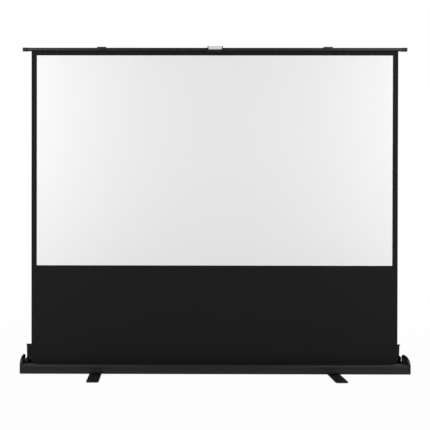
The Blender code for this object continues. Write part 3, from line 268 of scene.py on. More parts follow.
def new_finish(name, **sockets):
    """A new material with plain values set on its shader's own sockets."""
    material = bpy.data.materials.new(name)
    material.use_nodes = True
    shader = material.node_tree.nodes["Principled BSDF"]
    for socket, value in sockets.items():
        shader.inputs[socket.replace("_", " ")].default_value = value
    return material, material.node_tree, shader


def vary(tree, shader, pattern, colours, roughness, rough_pattern=None):
    """A pattern swings the base colour between two colours, and the roughness between two values
    unless another pattern does that."""
    # Sockets 6 and 7 of a colour mix are the two colours that it mixes
    colour = add_node(
        tree, "ShaderNodeMix", {0: pattern, 6: colours[0], 7: colours[1]}, data_type="RGBA"
    )
    tree.links.new(colour.outputs[2], shader.inputs["Base Color"])
    rough = add_node(
        tree,
        "ShaderNodeMapRange",
        {0: rough_pattern or pattern, "To Min": roughness[0], "To Max": roughness[1]},
    )
    tree.links.new(rough.outputs[0], shader.inputs["Roughness"])


def emboss(tree, shader, height, strength, depth, under=None):
    """Raises a pattern by up to its depth in metres, over another relief if there is one."""
    relief = {"Strength": strength, "Distance": depth, "Height": height}
    if under is not None:
        relief["Normal"] = under
    bump = add_node(tree, "ShaderNodeBump", relief)
    tree.links.new(bump.outputs[0], shader.inputs["Normal"])
    return bump.outputs[0]


def extruded_aluminium():
    """Aluminium extrusion in satin black powder: lengthwise die lines under an even, dull gloss."""
    metal = bpy.context.scene.screen_hardware.metal
    material, tree, shader = new_finish("satin_black_extrusion", IOR=1.5, Specular_IOR_Level=0.2)
    place = add_node(tree, "ShaderNodeTexCoord").outputs["Object"]
    # Die lines are about 0.3 mm apart and metres long; 1.5 mm shows at arm's length
    line_mm = 1.5
    along = add_node(tree, "ShaderNodeMapping", {"Vector": place, "Scale": (0.004, 1, 1)})
    lines = add_node(
        tree,
        "ShaderNodeTexNoise",
        {"Vector": along.outputs[0], "Scale": 1 / (line_mm * MM), "Detail": 3},
    )
    # Powder settles in a fine grain of about 0.8 mm
    grain_mm = 0.8
    grain = add_node(
        tree, "ShaderNodeTexNoise", {"Vector": place, "Scale": 1 / (grain_mm * MM), "Detail": 2}
    )
    # Hands and cloth polish it in soft patches a hand wide
    patch_mm = 90
    patch = add_node(
        tree, "ShaderNodeTexNoise", {"Vector": place, "Scale": 1 / (patch_mm * MM), "Detail": 4}
    )
    colours = (dimmed(metal, 0.82), tuple(metal))
    vary(tree, shader, lines.outputs[0], colours, (0.36, 0.52), patch.outputs[0])
    fine = emboss(tree, shader, grain.outputs[0], 0.10, 0.0002)
    emboss(tree, shader, lines.outputs[0], 0.12, 0.0003, under=fine)
    return material


def moulded_abs():
    """ABS from a spark-eroded mould: a fine pebbled skin, slightly greyer in soft patches."""
    plastic = bpy.context.scene.screen_hardware.plastic
    material, tree, shader = new_finish("moulded_black_abs", IOR=1.53, Specular_IOR_Level=0.2)
    place = add_node(tree, "ShaderNodeTexCoord").outputs["Object"]
    pebble_mm = 0.7
    pebble = add_node(
        tree, "ShaderNodeTexVoronoi", {"Vector": place, "Scale": 1 / (pebble_mm * MM)}
    )
    cloud_mm = 25
    cloud = add_node(
        tree, "ShaderNodeTexNoise", {"Vector": place, "Scale": 1 / (cloud_mm * MM), "Detail": 3}
    )
    colours = (tuple(plastic), dimmed(plastic, 1.5))
    vary(tree, shader, cloud.outputs[0], colours, (0.42, 0.6))
    emboss(tree, shader, pebble.outputs[0], 0.2, 0.0001)
    return material


def powder_coated_steel():
    """Sheet steel in black powder: the low swells of orange peel, scuffed greyer in places."""
    material, tree, shader = new_finish(
        "black_powder_coated_steel", IOR=1.5, Specular_IOR_Level=0.22
    )
    place = add_node(tree, "ShaderNodeTexCoord").outputs["Object"]
    peel_mm = 1.8
    peel = add_node(
        tree, "ShaderNodeTexNoise", {"Vector": place, "Scale": 1 / (peel_mm * MM), "Detail": 1}
    )
    scuff_mm = 14
    scuff = add_node(
        tree, "ShaderNodeTexNoise", {"Vector": place, "Scale": 1 / (scuff_mm * MM), "Detail": 6}
    )
    colours = (linear("#131314"), linear("#1D1D1E"))
    vary(tree, shader, scuff.outputs[0], colours, (0.34, 0.5))
    emboss(tree, shader, peel.outputs[0], 0.18, 0.0002)
    return material


def zinc_plated_steel():
    """Turned steel with clear-passivated zinc: bright and a little cloudy."""
    material, tree, shader = new_finish("zinc_plated_steel", Metallic=1.0)
    place = add_node(tree, "ShaderNodeTexCoord").outputs["Object"]
    cloud_mm = 5
    cloud = add_node(
        tree, "ShaderNodeTexNoise", {"Vector": place, "Scale": 1 / (cloud_mm * MM), "Detail": 5}
    )
    colours = (linear("#A9ACB0"), linear("#C8CACC"))
    vary(tree, shader, cloud.outputs[0], colours, (0.22, 0.4))
    return material


def oiled_spring_steel():
    """Oil-tempered spring wire: dark grey, drawn smooth, with a thin film of oil."""
    material, tree, shader = new_finish("oiled_spring_steel", Metallic=1.0)
    place = add_node(tree, "ShaderNodeTexCoord").outputs["Object"]
    film_mm = 3
    film = add_node(
        tree, "ShaderNodeTexNoise", {"Vector": place, "Scale": 1 / (film_mm * MM), "Detail": 4}
    )
    colours = (linear("#5E5E60"), linear("#85868A"))
    vary(tree, shader, film.outputs[0], colours, (0.22, 0.38))
    return material


def drawn_aluminium():
    """Bare drawn aluminium tube: pale, with draw lines along its length."""
    material, tree, shader = new_finish("drawn_aluminium_tube", Metallic=1.0)
    place = add_node(tree, "ShaderNodeTexCoord").outputs["Object"]
    line_mm = 0.8
    along = add_node(tree, "ShaderNodeMapping", {"Vector": place, "Scale": (0.01, 1, 1)})
    lines = add_node(
        tree,
        "ShaderNodeTexNoise",
        {"Vector": along.outputs[0], "Scale": 1 / (line_mm * MM), "Detail": 4},
    )
    colours = (linear("#B4B6B8"), linear("#D2D3D4"))
    vary(tree, shader, lines.outputs[0], colours, (0.25, 0.42))
    return material


def silver_painted_abs():
    """ABS sprayed silver: a fine aluminium flake under a satin clear coat."""
    silver = bpy.context.scene.screen_hardware.silver
    material, tree, shader = new_finish("silver_painted_abs", Metallic=0.35, IOR=1.5)
    place = add_node(tree, "ShaderNodeTexCoord").outputs["Object"]
    flake_mm = 0.5
    flake = add_node(
        tree, "ShaderNodeTexVoronoi", {"Vector": place, "Scale": 1 / (flake_mm * MM)}
    )
    colours = (tuple(silver), dimmed(silver, 0.86))
    vary(tree, shader, flake.outputs["Distance"], colours, (0.32, 0.42))
    return material


def natural_nylon():
    """Uncoloured nylon washer: milky white and waxy, letting a little light in."""
    material, tree, shader = new_finish(
        "natural_nylon", IOR=1.53, Subsurface_Weight=0.15, Subsurface_Scale=0.002
    )
    place = add_node(tree, "ShaderNodeTexCoord").outputs["Object"]
    cloud_mm = 4
    cloud = add_node(
        tree, "ShaderNodeTexNoise", {"Vector": place, "Scale": 1 / (cloud_mm * MM), "Detail": 2}
    )
    colours = (linear("#DAD7CC"), linear("#E9E7DF"))
    vary(tree, shader, cloud.outputs[0], colours, (0.4, 0.55))
    return material


def black_rubber():
    """Vulcanised rubber pads: dead matt black, dusty in patches."""
    material, tree, shader = new_finish("black_rubber", IOR=1.52, Specular_IOR_Level=0.15)
    place = add_node(tree, "ShaderNodeTexCoord").outputs["Object"]
    dust_mm = 6
    dust = add_node(
        tree, "ShaderNodeTexNoise", {"Vector": place, "Scale": 1 / (dust_mm * MM), "Detail": 6}
    )
    colours = (linear("#0F0F0F"), linear("#242322"))
    vary(tree, shader, dust.outputs[0], colours, (0.72, 0.92))
    return material


def weave_height(tree):
    """The piece's UV map, which is in metres, and the height of a plain weave on it."""
    flat = add_node(tree, "ShaderNodeUVMap", uv_map="cloth").outputs[0]
    # Threads are 0.5 mm apart; 1.4 mm shows in a close view. At scale 1 a wave is pi / 10 m long
    thread_mm = 1.4
    scale = math.pi / 10 / (thread_mm * MM)
    warp, weft = (
        add_node(
            tree, "ShaderNodeTexWave", {"Vector": flat, "Scale": scale}, bands_direction=direction
        )
        for direction in "XY"
    )
    height = add_node(
        tree, "ShaderNodeMath", {0: warp.outputs[1], 1: weft.outputs[1]}, operation="MULTIPLY"
    )
    return flat, height.outputs[0]


def projection_cloth():
    """Fibreglass cloth with a matt vinyl face: dead flat white, with a printed black border."""
    cloth = bpy.context.scene.screen_cloth
    material, tree, shader = new_finish(
        "matt_white_projection_vinyl", IOR=1.45, Specular_IOR_Level=0.1
    )
    flat, height = weave_height(tree)
    split = add_node(tree, "ShaderNodeSeparateXYZ", {"Vector": flat})
    half_width, half_height = cloth.picture_width / 2, cloth.picture_height / 2
    centre = cloth.picture_base - SHEET_LOW.z + half_height
    # The picture is what lies within half its size of its centre, both across and up
    across, up = (
        add_node(
            tree,
            "ShaderNodeMath",
            {0: split.outputs[axis], 1: place, 2: half},
            operation="COMPARE",
        )
        for axis, place, half in ((0, 0, half_width), (1, centre, half_height))
    )
    picture = add_node(
        tree, "ShaderNodeMath", {0: across.outputs[0], 1: up.outputs[0]}, operation="MULTIPLY"
    )
    colours = (tuple(cloth.black), tuple(cloth.white))
    vary(tree, shader, picture.outputs[0], colours, (0.78, 0.95))
    emboss(tree, shader, height, 0.08, 0.0001)
    return material


def blackout_backing():
    """The cloth's back: a black light-stopping coat through which the weave still shows."""
    material, tree, shader = new_finish(
        "black_blackout_coating",
        IOR=1.45,
        Specular_IOR_Level=0.12,
        Sheen_Weight=0.06,
        Sheen_Roughness=0.5,
    )
    flat, height = weave_height(tree)
    blotch_mm = 120
    blotch = add_node(
        tree, "ShaderNodeTexNoise", {"Vector": flat, "Scale": 1 / (blotch_mm * MM), "Detail": 5}
    )
    colours = (linear("#141415"), linear("#1A1A1B"))
    vary(tree, shader, blotch.outputs[0], colours, (0.7, 0.85))
    emboss(tree, shader, height, 0.25, 0.0002)
    return material


FINISH_MAKERS = {
    "black_aluminium": extruded_aluminium,
    "black_plastic": moulded_abs,
    "black_steel": powder_coated_steel,
    "bright_steel": zinc_plated_steel,
    "spring_steel": oiled_spring_steel,
    "silver_plastic": silver_painted_abs,
    "white_nylon": natural_nylon,
    "black_rubber": black_rubber,
    "raw_aluminium": drawn_aluminium,
    "screen_cloth": projection_cloth,
    "black_cloth": blackout_backing,
}
FINISHES = {}
SLOTS = {row["node"]: row["material_slot"] for row in frame["record"]["subparts"]}


def finish_of(slot):
    """The material of one of the record's slots, made once and then shared."""
    if slot not in FINISHES:
        FINISHES[slot] = FINISH_MAKERS[slot]()
    return FINISHES[slot]


def give_finish(piece, slot):
    """Puts a slot's material on a piece."""
    piece.data.materials.clear()
    piece.data.materials.append(finish_of(slot))


def select_only(piece=None):
    """Goes to object mode and selects just this piece, which is then active too, or nothing."""
    if bpy.context.mode != "OBJECT":
        bpy.ops.object.mode_set(mode="OBJECT")
    bpy.ops.object.select_all(action="DESELECT")
    if piece is not None:
        piece.select_set(True)
        bpy.context.view_layer.objects.active = piece


def start_piece(kind, name, **sizes):
    """Adds a primitive at its size and place, selected alone and named."""
    select_only()
    getattr(bpy.ops.mesh, f"primitive_{kind}_add")(**sizes)
    piece = bpy.context.active_object
    piece.name = name
    piece.data.name = name
    bpy.ops.object.transform_apply(location=True, rotation=True, scale=True)
    return piece


def pick(piece, kind, test):
    """In edit mode, selects just the faces, edges or points that pass a test."""
    bpy.context.tool_settings.mesh_select_mode = (
        kind == "verts",
        kind == "edges",
        kind == "faces",
    )
    edit = bmesh.from_edit_mesh(piece.data)
    for group in (edit.verts, edit.edges, edit.faces):
        for element in group:
            element.select = False
    for element in getattr(edit, kind):
        if test(element):
            element.select_set(True)
    bmesh.update_edit_mesh(piece.data)


def apply_modifier(piece, kind, **settings):
    """Adds a modifier with its settings and applies it."""
    bpy.context.view_layer.objects.active = piece
    modifier = piece.modifiers.new(kind.lower(), kind)
    for name, value in settings.items():
        setattr(modifier, name, value)
    bpy.ops.object.modifier_apply(modifier=modifier.name)


def shade(piece, degrees=35):
    """Smooth shading with creases kept at the piece's hard edges."""
    select_only(piece)
    bpy.ops.object.shade_smooth_by_angle(angle=math.radians(degrees))


def lay_out_cloth(piece, width, length, place_of):
    """Turns a flat grid into cloth: its map in metres first, then each point where it hangs."""
    flat = piece.data.uv_layers[0]
    flat.name = "cloth"
    points = [point.co.copy() for point in piece.data.vertices]
    for loop in piece.data.loops:
        across, up = points[loop.vertex_index][:2]
        flat.data[loop.index].uv = (across * width, (up + 0.5) * length)
    for point, (across, up, _) in zip(piece.data.vertices, points):
        point.co = place_of(across * width, (up + 0.5) * length)


def dress(piece, slot, body, *nodes):
    """Finishes a piece: its material, the body that it moves with and the nodes it stands for."""
    give_finish(piece, slot)
    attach(piece, body)
    if nodes:
        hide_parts(*nodes)


def is_hard(edge, least):
    """Whether an edge is a convex, hard one and at least this long."""
    if not edge.is_manifold or edge.calc_length() < least:
        return False
    return edge.calc_face_angle_signed() > math.radians(HARD)


def eased_copy(node, name, radius, least=0.0015, rim=None):
    """A copy of a rigid piece with the small radius that its die or press leaves on hard edges.
    A rim is a test of an edge and the larger radius of the edges that pass it."""
    source = frame["nodes"][node]
    piece = bpy.data.objects.new(name, source.data.copy())
    bpy.context.scene.collection.objects.link(piece)
    select_only(piece)
    bpy.ops.object.mode_set(mode="EDIT")
    bpy.ops.mesh.select_all(action="SELECT")
    bpy.ops.mesh.customdata_custom_splitnormals_clear()
    bpy.ops.mesh.remove_doubles(threshold=WELD)
    bpy.ops.mesh.dissolve_limited(angle_limit=math.radians(FLAT))
    if rim:
        test, rim_radius = rim
        pick(piece, "edges", test)
        bpy.ops.mesh.bevel(offset=rim_radius, segments=4, affect="EDGES")
    pick(piece, "edges", lambda edge: is_hard(edge, least))
    bpy.ops.mesh.bevel(offset=radius, segments=2, affect="EDGES", clamp_overlap=True)
    bpy.ops.object.mode_set(mode="OBJECT")
    shade(piece)
    dress(piece, SLOTS[node], body_of(source)[0], node)
    return piece


def turn(name, start, axis, stations, sides=48):
    """Turns a round piece: a disc is drawn out from station to station, each a radius and how far
    along the axis from the start it lies."""
    along = Vector([axis == letter for letter in "XYZ"])
    upright = Vector((0, 0, 1)).rotation_difference(along).to_euler()
    start = Vector(start)
    radius, place = stations[0]
    piece = start_piece(
        "circle",
        name,
        vertices=sides,
        radius=radius,
        fill_type="NGON",
        location=start + along * place,
        rotation=upright,
    )
    bpy.ops.object.mode_set(mode="EDIT")
    bpy.ops.mesh.select_all(action="SELECT")
    for next_radius, next_place in stations[1:]:
        bpy.ops.mesh.extrude_region_move(
            TRANSFORM_OT_translate={"value": along * (next_place - place)}
        )
        share = next_radius / radius
        if share != 1:
            bpy.ops.transform.resize(
                value=(share, share, share), center_override=start + along * next_place
            )
        radius, place = next_radius, next_place
    bpy.ops.mesh.select_all(action="SELECT")
    bpy.ops.mesh.normals_make_consistent(inside=False)
    bpy.ops.object.mode_set(mode="OBJECT")
    shade(piece, HARD)
    return piece


def draw_wire(name, points, radius, roundness=4):
    """Draws a round wire along a line of points."""
    curve = bpy.data.curves.new(name, "CURVE")
    curve.dimensions = "3D"
    curve.bevel_depth = radius
    curve.bevel_resolution = roundness
    curve.use_fill_caps = True
    line = curve.splines.new("POLY")
    line.points.add(len(points) - 1)
    for point, place in zip(line.points, points):
        point.co = (*place, 1)
    wire = bpy.data.objects.new(name, curve)
    bpy.context.scene.collection.objects.link(wire)
    select_only(wire)
    bpy.ops.object.convert(target="MESH")
    wire = bpy.context.active_object
    wire.data.name = name
    bpy.ops.object.mode_set(mode="EDIT")
    bpy.ops.mesh.select_all(action="SELECT")
    bpy.ops.mesh.remove_doubles(threshold=WELD)
    bpy.ops.mesh.normals_make_consistent(inside=False)
    bpy.ops.object.mode_set(mode="OBJECT")
    shade(wire, 40)
    return wire


def rounded(corners, radius, steps=6):
    """A line through corners, each inner one rounded to a radius."""
    line = [Vector(corners[0])]
    for before, corner, after in zip(corners, corners[1:], corners[2:]):
        corner = Vector(corner)
        back = (Vector(before) - corner).normalized()
        on = (Vector(after) - corner).normalized()
        half = back.angle(on) / 2
        reach = radius / math.tan(half)
        centre = corner + (back + on).normalized() * radius / math.sin(half)
        first = corner + back * reach - centre
        last = corner + on * reach - centre
        line += [centre + first.slerp(last, step / steps) * radius for step in range(steps + 1)]
    line.append(Vector(corners[-1]))
    return line


class SCREEN_OT_case(bpy.types.Operator):
    """Eases the edges of the case, its lid and their mouldings"""

    bl_idname = "projection_screen.case"
    bl_label = "Case"

    def execute(self, context):
        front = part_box("case_body")[0].y
        # The groove along the front wall lies below this height, and the wall's top edge above it
        above_groove, rim_radius = 0.050, 0.0040

        def front_rim(edge):
            """Whether an edge is the long one along the top of the front wall."""
            reach = max(point.co.y for point in edge.verts) - front
            above = edge.verts[0].co.z > above_groove
            return reach < 10 * WELD and above and is_hard(edge, least=1)

        eased_copy("case_body", "case_extrusion", 0.0003, rim=(front_rim, rim_radius))
        eased_copy("lid_panel", "lid_extrusion", 0.0003)
        for side, _ in SIDES:
            eased_copy(f"end_cap_{side}", f"cap_moulding_{side}", 0.0006)
            eased_copy(f"lid_end_plug_{side}", f"lid_plug_{side}", 0.0004)
            eased_copy(f"carry_handle_ear_{side}", f"bail_ear_{side}", 0.0006)
        return {"FINISHED"}


class SCREEN_OT_bar(bpy.types.Operator):
    """Eases the edges of the top bar, its end plugs and the bracket of its grip"""

    bl_idname = "projection_screen.bar"
    bl_label = "Top bar"

    def execute(self, context):
        eased_copy("top_bar", "bar_extrusion", 0.0004)
        eased_copy("handle_base", "grip_cradle", 0.0005)
        for side, _ in SIDES:
            eased_copy(f"top_bar_plug_{side}", f"bar_plug_{side}", 0.0012)
        return {"FINISHED"}


class SCREEN_OT_arms(bpy.types.Operator):
    """Eases the pressed arms and brackets, and turns the pins that join them"""

    bl_idname = "projection_screen.arms"
    bl_label = "Arms"

    def execute(self, context):
        for side, _ in SIDES:
            eased_copy(f"lower_arm_{side}", f"lower_arm_plate_{side}", 0.0005)
            eased_copy(f"upper_arm_{side}", f"upper_arm_plate_{side}", 0.0005)
            eased_copy(f"bar_bracket_{side}", f"bar_saddle_{side}", 0.0004)
            eased_copy(f"base_bracket_{side}", f"base_saddle_{side}", 0.0004)
            for joint, body in (
                ("elbow", f"arm_lower_{side}"),
                ("top", "bar"),
                ("base", "case"),
            ):
                self.make_pin(f"{joint}_pin_{side}", f"{joint}_rivet_{side}", body)
        return {"FINISHED"}

    def make_pin(self, node, name, body):
        """A shouldered pin whose two heads are faced, chamfered and dimpled by the press."""
        low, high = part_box(node)
        centre = middle((low, high))
        length = high.y - low.y
        head = (high.x - low.x) / 2
        shank, thick, chamfer = 0.004, 0.0009, 0.0006
        dimple, dimple_depth = 0.0020, 0.0005
        stations = [
            (dimple / 2, dimple_depth),
            (dimple, 0),
            (head - chamfer, 0),
            (head - chamfer / 3, chamfer / 3),
            (head, thick * 0.6),
            (head, thick),
            (shank, thick),
        ]
        far = [(radius, length - place) for radius, place in reversed(stations)]
        pin = turn(name, (centre.x, low.y, centre.z), "Y", stations + far)
        dress(pin, "bright_steel", body, node)


class SCREEN_OT_springs(bpy.types.Operator):
    """Coils the two lift springs round the base pins"""

    bl_idname = "projection_screen.springs"
    bl_label = "Springs"

    def execute(self, context):
        for side, sign in SIDES:
            self.coil_spring(side, sign)
        return {"FINISHED"}

    def coil_spring(self, side, sign):
        """One spring in two pieces: the coil with its resting leg, and the leg along the arm."""
        sizes = bpy.context.scene.screen_hardware
        wire, pitch = sizes.spring_wire / 2, sizes.spring_pitch
        pin = middle(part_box("base_pin_left"))
        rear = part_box("lift_spring_left")[1].y - wire
        radius, bend = 0.01405, 0.004
        rest_reach, arm_reach, hook_reach = 0.021, 0.042, 0.010
        raised = math.radians(75)
        whole_turns, steps = 3, 120
        total = 2 * math.pi * whole_turns + raised
        climb = pitch * total / (2 * math.pi)

        def on_coil(angle, depth):
            """A point of the coil, from the pin's axis."""
            return Vector((radius * math.cos(angle), depth, radius * math.sin(angle)))

        rest_leg = Vector((-rest_reach, rear - climb - wire, -radius))
        rest_corner = Vector((-rest_reach, rear, -radius))
        coil = [
            on_coil(-math.pi / 2 + total * step / steps, rear - climb * step / steps)
            for step in range(steps + 1)
        ]
        resting = rounded([rest_leg, rest_corner, coil[0]], bend)[:-1]
        corner = coil[-1] + Vector((math.cos(raised), 0, math.sin(raised))) * arm_reach
        hook = corner - Vector((0, hook_reach, 0))
        arm_leg = rounded([coil[-1], corner, hook], bend)

        def placed(points):
            """Moves the points to the left pin, or turns them half round for the right one."""
            moved = [Vector((pin.x + x, y, pin.z + z)) for x, y, z in points]
            if sign > 0:
                moved = [Vector((-x, 2 * TURN_Y - y, z)) for x, y, z in moved]
            return moved

        turns = draw_wire(f"lift_coil_{side}", placed(resting + coil), wire)
        dress(turns, "spring_steel", "case", f"lift_spring_{side}")
        # The leg that bears on the arm moves with it, as the coil winds up
        leg = draw_wire(f"lift_leg_{side}", placed(arm_leg), wire)
        dress(leg, "spring_steel", f"arm_lower_{side}")


class SCREEN_OT_feet(bpy.types.Operator):
    """Eases the feet and moulds the rubber pads under them"""

    bl_idname = "projection_screen.feet"
    bl_label = "Feet"

    def execute(self, context):
        for side, _ in SIDES:
            eased_copy(f"foot_bar_{side}", f"foot_plate_{side}", 0.0008)
            for end in ("front", "back"):
                self.make_pad(side, end)
        return {"FINISHED"}

    def make_pad(self, side, end):
        """A pad with two raised rings on its tread, a rounded rim and a peg that holds it."""
        node = f"foot_pad_{side}_{end}"
        low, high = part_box(node)
        centre = middle((low, high))
        rim = (high.x - low.x) / 2
        height = high.z - low.z
        thick, peg, groove, rounding = 0.0027, 0.003, 0.0006, 0.0009
        stations = [
            (rim * 0.22, groove),
            (rim * 0.28, 0),
            (rim * 0.46, 0),
            (rim * 0.51, groove),
            (rim * 0.60, groove),
            (rim * 0.65, 0),
            (rim * 0.88, 0),
            (rim * 0.96, rounding / 3),
            (rim, rounding),
            (rim, thick - groove),
            (rim * 0.95, thick),
            (peg, thick),
            (peg, height - groove),
            (peg * 0.8, height),
        ]
        start = (centre.x, centre.y, low.z)
        pad = turn(f"rubber_pad_{side}_{end}", start, "Z", stations)
        dress(pad, "black_rubber", f"foot_{side}", node)


class SCREEN_OT_screws(bpy.types.Operator):
    """Turns the cross-headed screws that hold the end caps"""

    bl_idname = "projection_screen.screws"
    bl_label = "Cap screws"

    def execute(self, context):
        for side, sign in SIDES:
            for number in (1, 2):
                self.make_screw(side, sign, number)
        return {"FINISHED"}

    def make_screw(self, side, sign, number):
        """A screw with a cross cut into its round-edged head, and a blunt tip."""
        node = f"end_cap_screw_{side}_{number}"
        low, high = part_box(node)
        centre = middle((low, high))
        head = (high.z - low.z) / 2
        length = high.x - low.x
        shank, thick, chamfer, tip = 0.0016, 0.002, 0.0006, 0.001
        face = Vector((high.x if sign > 0 else low.x, centre.y, centre.z))
        stations = [
            (head * 0.86, 0),
            (head * 0.95, chamfer / 3),
            (head, chamfer),
            (head, thick),
            (shank, thick),
            (shank, length - tip),
            (shank * 0.4, length),
        ]
        inward = [(radius, -sign * place) for radius, place in stations]
        screw = turn(f"cap_screw_{side}_{number}", face, "X", inward, sides=32)
        depth = 0.0012
        slot = (2 * depth, head * 1.2, head * 0.28)
        cutter = start_piece("cube", "recess", size=1, location=face, scale=slot)
        bpy.ops.object.mode_set(mode="EDIT")
        bpy.ops.mesh.select_all(action="SELECT")
        bpy.ops.mesh.duplicate()
        bpy.ops.transform.rotate(value=math.pi / 2, orient_axis="X", center_override=face)
        select_only(screw)
        apply_modifier(
            screw,
            "BOOLEAN",
            object=cutter,
            operation="DIFFERENCE",
            solver="EXACT",
            use_self=True,
        )
        bpy.data.objects.remove(cutter)
        shade(screw, HARD)
        dress(screw, "bright_steel", "case", node)


class SCREEN_OT_bail(bpy.types.Operator):
    """Bends the carrying handle's rod and moulds the sleeve on it"""

    bl_idname = "projection_screen.bail"
    bl_label = "Carrying handle"

    def execute(self, context):
        low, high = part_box("carry_handle")
        rod = (high.y - low.y) / 2
        y = middle((low, high)).y
        bend, short, fit = 0.0085, 0.0005, 0.0002
        left, right, top, bottom = low.x + rod, high.x - rod, high.z - short, low.z + rod
        corners = [(left, y, top), (left, y, bottom), (right, y, bottom), (right, y, top)]
        wire = draw_wire("bail_rod", rounded(corners, bend, steps=10), rod)
        dress(wire, "black_steel", "carry_handle", "carry_handle")
        # The sleeve swells between the fingers and ends in a small chamfer
        length, waist, swell, fingers = 0.080, 0.0048, 0.0006, 4
        rim, chamfer = 0.0046, 0.0004
        steps = 32
        waves = [
            (
                waist + swell * math.sin(math.pi * fingers * step / steps) ** 2,
                length * step / steps,
            )
            for step in range(1, steps)
        ]
        stations = [(rod + fit, 0), (rim, chamfer), *waves]
        stations += [(rim, length - chamfer), (rod + fit, length)]
        sleeve = turn("bail_sleeve", (-length / 2, y, bottom), "X", stations)
        dress(sleeve, "black_rubber", "carry_handle")
        return {"FINISHED"}


class SCREEN_OT_cloth(bpy.types.Operator):
    """Hangs the cloth from its hem rod and winds its last turns on the roller"""

    bl_idname = "projection_screen.cloth"
    bl_label = "Cloth"

    def execute(self, context):
        self.hang_sheet(context.scene.screen_cloth)
        self.fold_hem(context.scene.screen_cloth)
        self.wind_roll(context.scene.screen_cloth)
        return {"FINISHED"}

    def make_sheet(self, name, columns, rows, size, place_of):
        """A sheet of coated cloth: white or black vinyl in front and a black coat behind."""
        sheet = start_piece("grid", name, x_subdivisions=columns, y_subdivisions=rows, size=1)
        lay_out_cloth(sheet, *size, place_of)
        give_finish(sheet, "screen_cloth")
        sheet.data.materials.append(finish_of("black_cloth"))
        apply_modifier(
            sheet,
            "SOLIDIFY",
            thickness=bpy.context.scene.screen_cloth.thickness,
            offset=0,
            material_offset=1,
            material_offset_rim=1,
        )
        shade(sheet, 60)
        return sheet

    def hang_sheet(self, cloth):
        """The sheet between the roller and the hem."""
        roll_radius = (ROLL_HIGH.z - ROLL_LOW.z) / 2
        tangent_y = middle((ROLL_LOW, ROLL_HIGH)).y + roll_radius + cloth.thickness / 2
        rise = cloth.picture_base + cloth.picture_height + HEM_MARGIN - SHEET_LOW.z
        lead = 0.060
        wave_across, wave_up = 7.0, 2.5

        def hang(across, along):
            """Where a point hangs: the cloth leaves the roller, and waves most at its sides."""
            share = min(along / lead, 1)
            y = tangent_y + (SHEET_Y - tangent_y) * share * share * (3 - 2 * share)
            calm = math.sin(math.pi * along / rise)
            side = across / (SHEET_WIDTH / 2)
            wave = math.sin(wave_across * side + wave_up * (along - rise / 2)) * side * side
            return (across, y + cloth.ripple * calm * wave, SHEET_LOW.z + along)

        size = (SHEET_WIDTH, rise)
        sheet = self.make_sheet("screen_cloth", 96, 230, size, hang)
        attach(sheet, "case")
        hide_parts("screen_sheet")
        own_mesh(sheet)

    def fold_hem(self, cloth):
        """The border above the picture, turned over the hem rod and sewn down behind itself."""
        rod = middle((ROD_LOW, ROD_HIGH))
        loop_radius = (ROD_HIGH.z - ROD_LOW.z) / 2 + cloth.thickness
        foot = cloth.picture_base + cloth.picture_height + HEM_MARGIN
        rise = rod.z - loop_radius - foot
        loop = 2 * math.pi * loop_radius
        back = SHEET_Y + 2 * cloth.thickness

        def fold(across, along):
            """Where a point lies: up the front, round the rod and down the back."""
            if along <= rise:
                return (across, SHEET_Y, foot + along)
            if along >= rise + loop:
                return (across, back, rod.z - loop_radius - (along - rise - loop))
            angle = -math.pi / 2 - (along - rise) / loop_radius
            return (
                across,
                rod.y + loop_radius * math.cos(angle),
                rod.z + loop_radius * math.sin(angle),
            )

        size = (SHEET_WIDTH, rise + loop + cloth.hem)
        hem = self.make_sheet("cloth_hem", 24, 56, size, fold)
        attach(hem, "bar")
        # It is sewn 2 mm above its lower edge, and the thread shows on both faces
        seam_z = foot + 2 * MM
        front = SHEET_Y - cloth.thickness / 2
        seams = [
            self.sew("hem_seam_front", front, -1, seam_z),
            self.sew("hem_seam_back", back + cloth.thickness / 2, 1, seam_z),
        ]

    def wind_roll(self, cloth):
        """The last turns of the cloth, wound on the roller."""
        axis = middle((ROLL_LOW, ROLL_HIGH))
        pitch = cloth.thickness * 1.1
        inner = (TUBE_HIGH.z - TUBE_LOW.z) / 2 + cloth.thickness
        outer = (ROLL_HIGH.z - ROLL_LOW.z) / 2 - cloth.thickness / 2
        turns = (outer - inner) / pitch
        length = math.pi * (inner + outer) * turns

        def wind(across, along):
            """Where a point lies on the spiral, by the turns that are left to its outer end."""
            left = turns * (1 - along / length)
            radius = outer - pitch * left
            angle = 2 * math.pi * left
            return (across, axis.y + radius * math.cos(angle), axis.z + radius * math.sin(angle))

        roll = start_piece("grid", "cloth_roll", x_subdivisions=4, y_subdivisions=96, size=1)
        lay_out_cloth(roll, SHEET_WIDTH, length, wind)
        apply_modifier(roll, "SOLIDIFY", thickness=cloth.thickness * 0.8, offset=0)
        shade(roll, 60)
        dress(roll, "black_cloth", "roller", "wound_fabric")

    def sew(self, name, face, outward, z):
        """A row of stitches on one face of the cloth, each sunk at its ends."""
        pitch, half, thread, sink = 0.0040, 0.0014, 0.0002, 0.0003
        count = int(SHEET_WIDTH / pitch) - 1
        first = -pitch * (count - 1) / 2
        high = face + outward * thread * 0.6
        low = face - outward * sink
        flat = half * 0.7
        points = [
            (first - half, low, z),
            (first - flat, high, z),
            (first + flat, high, z),
            (first + half, low, z),
        ]
        seam = draw_wire(name, points, thread, roundness=1)
        apply_modifier(
            seam,
            "ARRAY",
            count=count,
            use_relative_offset=False,
            use_constant_offset=True,
            constant_offset_displace=(pitch, 0, 0),
        )
        dress(seam, "black_cloth", "bar")
        return seam


